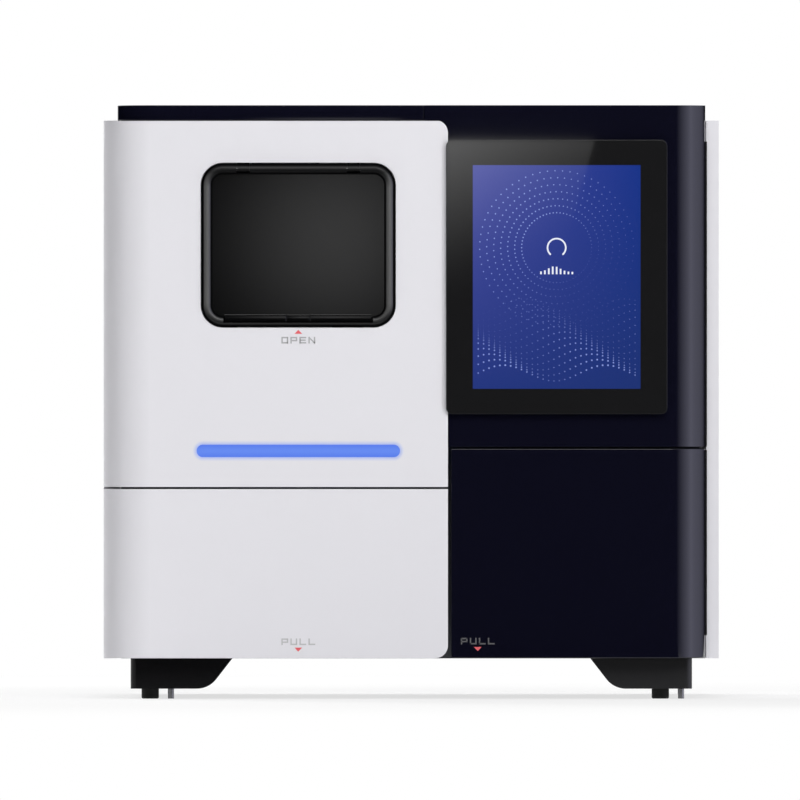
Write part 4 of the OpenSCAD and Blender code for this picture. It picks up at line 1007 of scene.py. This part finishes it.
def make_board_parts():
    """Small components on the main board, and the contacts of the network port."""
    part = block((-2.2 * mm, -2 * mm, -1.3 * mm), (0, 2 * mm, 1.3 * mm))
    piece = plain_mesh("board_components", *part)
    scattered(piece, finishes["dark_moulding"], 7, 19, 14, Vector((263.6, -184, 280)) * mm,
              Vector((0, 13, 0)) * mm, Vector((0, 0, 14.5)) * mm, (0.4, 0.4, 0.4), (1.5, 1.6, 1.5))
    settle(piece, "case", slot_of("main_board"))
    row_of("port_contacts", small_block(0.5, 7, 0.4), "data_ports", "bright_steel", 8,
           (222.2, 296, 190.5), (1.1, 0, 0))


# ---------------------------------------------------------------- lettering

LETTERS = {
    "1": [[(0.5, 0), (0.5, 1)]],
    "2": [[(0, 1), (1, 1), (1, 0.5), (0, 0.5), (0, 0), (1, 0)]],
    "3": [[(0, 1), (1, 1), (1, 0), (0, 0)], [(0.2, 0.5), (0.9, 0.5)]],
    "4": [[(0, 1), (0, 0.45), (1, 0.45)], [(1, 1), (1, 0)]],
    "5": [[(1, 1), (0, 1), (0, 0.5), (1, 0.5), (1, 0), (0, 0)]],
    "6": [[(1, 1), (0, 1), (0, 0), (1, 0), (1, 0.5), (0, 0.5)]],
    "E": [[(1, 0), (0, 0), (0, 1), (1, 1)], [(0, 0.5), (0.9, 0.5)]],
    "L": [[(0, 1), (0, 0), (1, 0)]],
    "N": [[(0, 0), (0, 1), (1, 0), (1, 1)]],
    "O": [[(0, 0), (1, 0), (1, 1), (0, 1), (0, 0)]],
    "P": [[(0, 0), (0, 1), (1, 1), (1, 0.42), (0, 0.42)]],
    "U": [[(0, 1), (0, 0), (1, 0), (1, 1)]],
}


def bar(start, end, width, front, back):
    """Points and faces of a flat bar in the X-Z plane, square at both ends."""
    along = (end - start).normalized() * width / 2
    across = Vector((-along.y, along.x))
    flat = [start - along - across, end + along - across, end + along + across,
            start - along + across]
    points = [(p.x, front, p.y) for p in flat] + [(p.x, back, p.y) for p in flat]
    faces = [(0, 1, 2, 3), (7, 6, 5, 4)] + [(i, i + 4, (i + 1) % 4 + 4, (i + 1) % 4)
                                            for i in range(4)]
    return points, faces


def make_word(name, word, middle_x, middle_z, front, node, finish, size=1):
    """A printed word of stroked capitals, a hair's breadth thick, on a frame node's piece."""
    height, width, gap, stroke, ink = (v * size * mm for v in (6.2, 6.4, 2.1, 1.3, 0.12))
    pitch = width + gap
    left = middle_x - (pitch * len(word) - gap) / 2 + stroke / 2
    bars = []
    for number, letter in enumerate(word):
        for path in LETTERS[letter]:
            points = [Vector((left + number * pitch + x * (width - stroke),
                              middle_z - height / 2 + stroke / 2 + z * (height - stroke)))
                      for x, z in path]
            # each stroke stands a little further out, so that crossings do not flicker
            for step, (start, end) in enumerate(zip(points, points[1:])):
                bars.append(bar(start, end, stroke, front - ink - step * 0.002 * mm, front))
    piece = dressed(joined(name, bars), finish)
    settle(piece, body_of(node), slot_of(node))
    return piece


def make_pointer(name, middle_x, middle_z, up, front, node):
    """Small red triangle that says which way the piece opens."""
    half, tall, ink = 3.6 * mm, 3.8 * mm, 0.12 * mm
    tip = tall / 2 if up else -tall / 2
    flat = [(middle_x - half, middle_z - tip), (middle_x + half, middle_z - tip),
            (middle_x, middle_z + tip)]
    if not up:
        flat.reverse()
    points = [(x, front - ink, z) for x, z in flat] + [(x, front, z) for x, z in flat]
    faces = [(0, 1, 2), (5, 4, 3)] + [(i, i + 3, (i + 1) % 3 + 3, (i + 1) % 3) for i in range(3)]
    piece = dressed(plain_mesh(name, points, faces), "pointer_red")
    settle(piece, body_of(node), slot_of(node))


def make_lettering():
    white_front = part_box("drawer_front")[0].y
    dark_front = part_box("bottle_door")[0].y
    door_x = middle("flow_door_frame").x
    bottle_x = 62.6 * mm
    for name, word, x, z, arrow_z, up, front, node, finish in (
            ("open", "OPEN", door_x, 338.4, 346.3, True, white_front, "upper_left_cover",
             "lettering"),
            ("drawer_pull", "PULL", door_x, 54.0, 46.6, False, white_front, "drawer_front",
             "lettering_pale"),
            ("bottle_pull", "PULL", bottle_x, 54.6, 47.2, False, dark_front, "bottle_door",
             "lettering_dim")):
        make_word(name + "_word", word, x, z * mm, front, node, finish)
        make_pointer(name + "_pointer", x, arrow_z * mm, up, front, node)
    make_trough_numbers()


def make_trough_numbers():
    """The cartridge's troughs numbered 1 to 6, flat on its top."""
    lo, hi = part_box("reagent_cartridge")
    rim, first, pitch = 6 * mm, -194 * mm, 30 * mm
    for number in range(6):
        piece = make_word(f"trough_number_{number + 1}", str(number + 1), first + number * pitch, 0,
                          0, "reagent_cartridge", "number_grey", 0.8)
        for vertex in piece.data.vertices:
            x, y, z = vertex.co
            vertex.co = (x, lo.y + rim + 4 * mm + z, hi.z - y)


bpy.context.scene.view_settings.view_transform = "Standard"
make_camera()
make_world()
make_floor()
make_lamps()
make_cards()
finishes = make_finishes()
dress_frame()
make_covers()
make_edge_shade_strips()
make_door()
make_inside()
make_screen()
make_lettering()
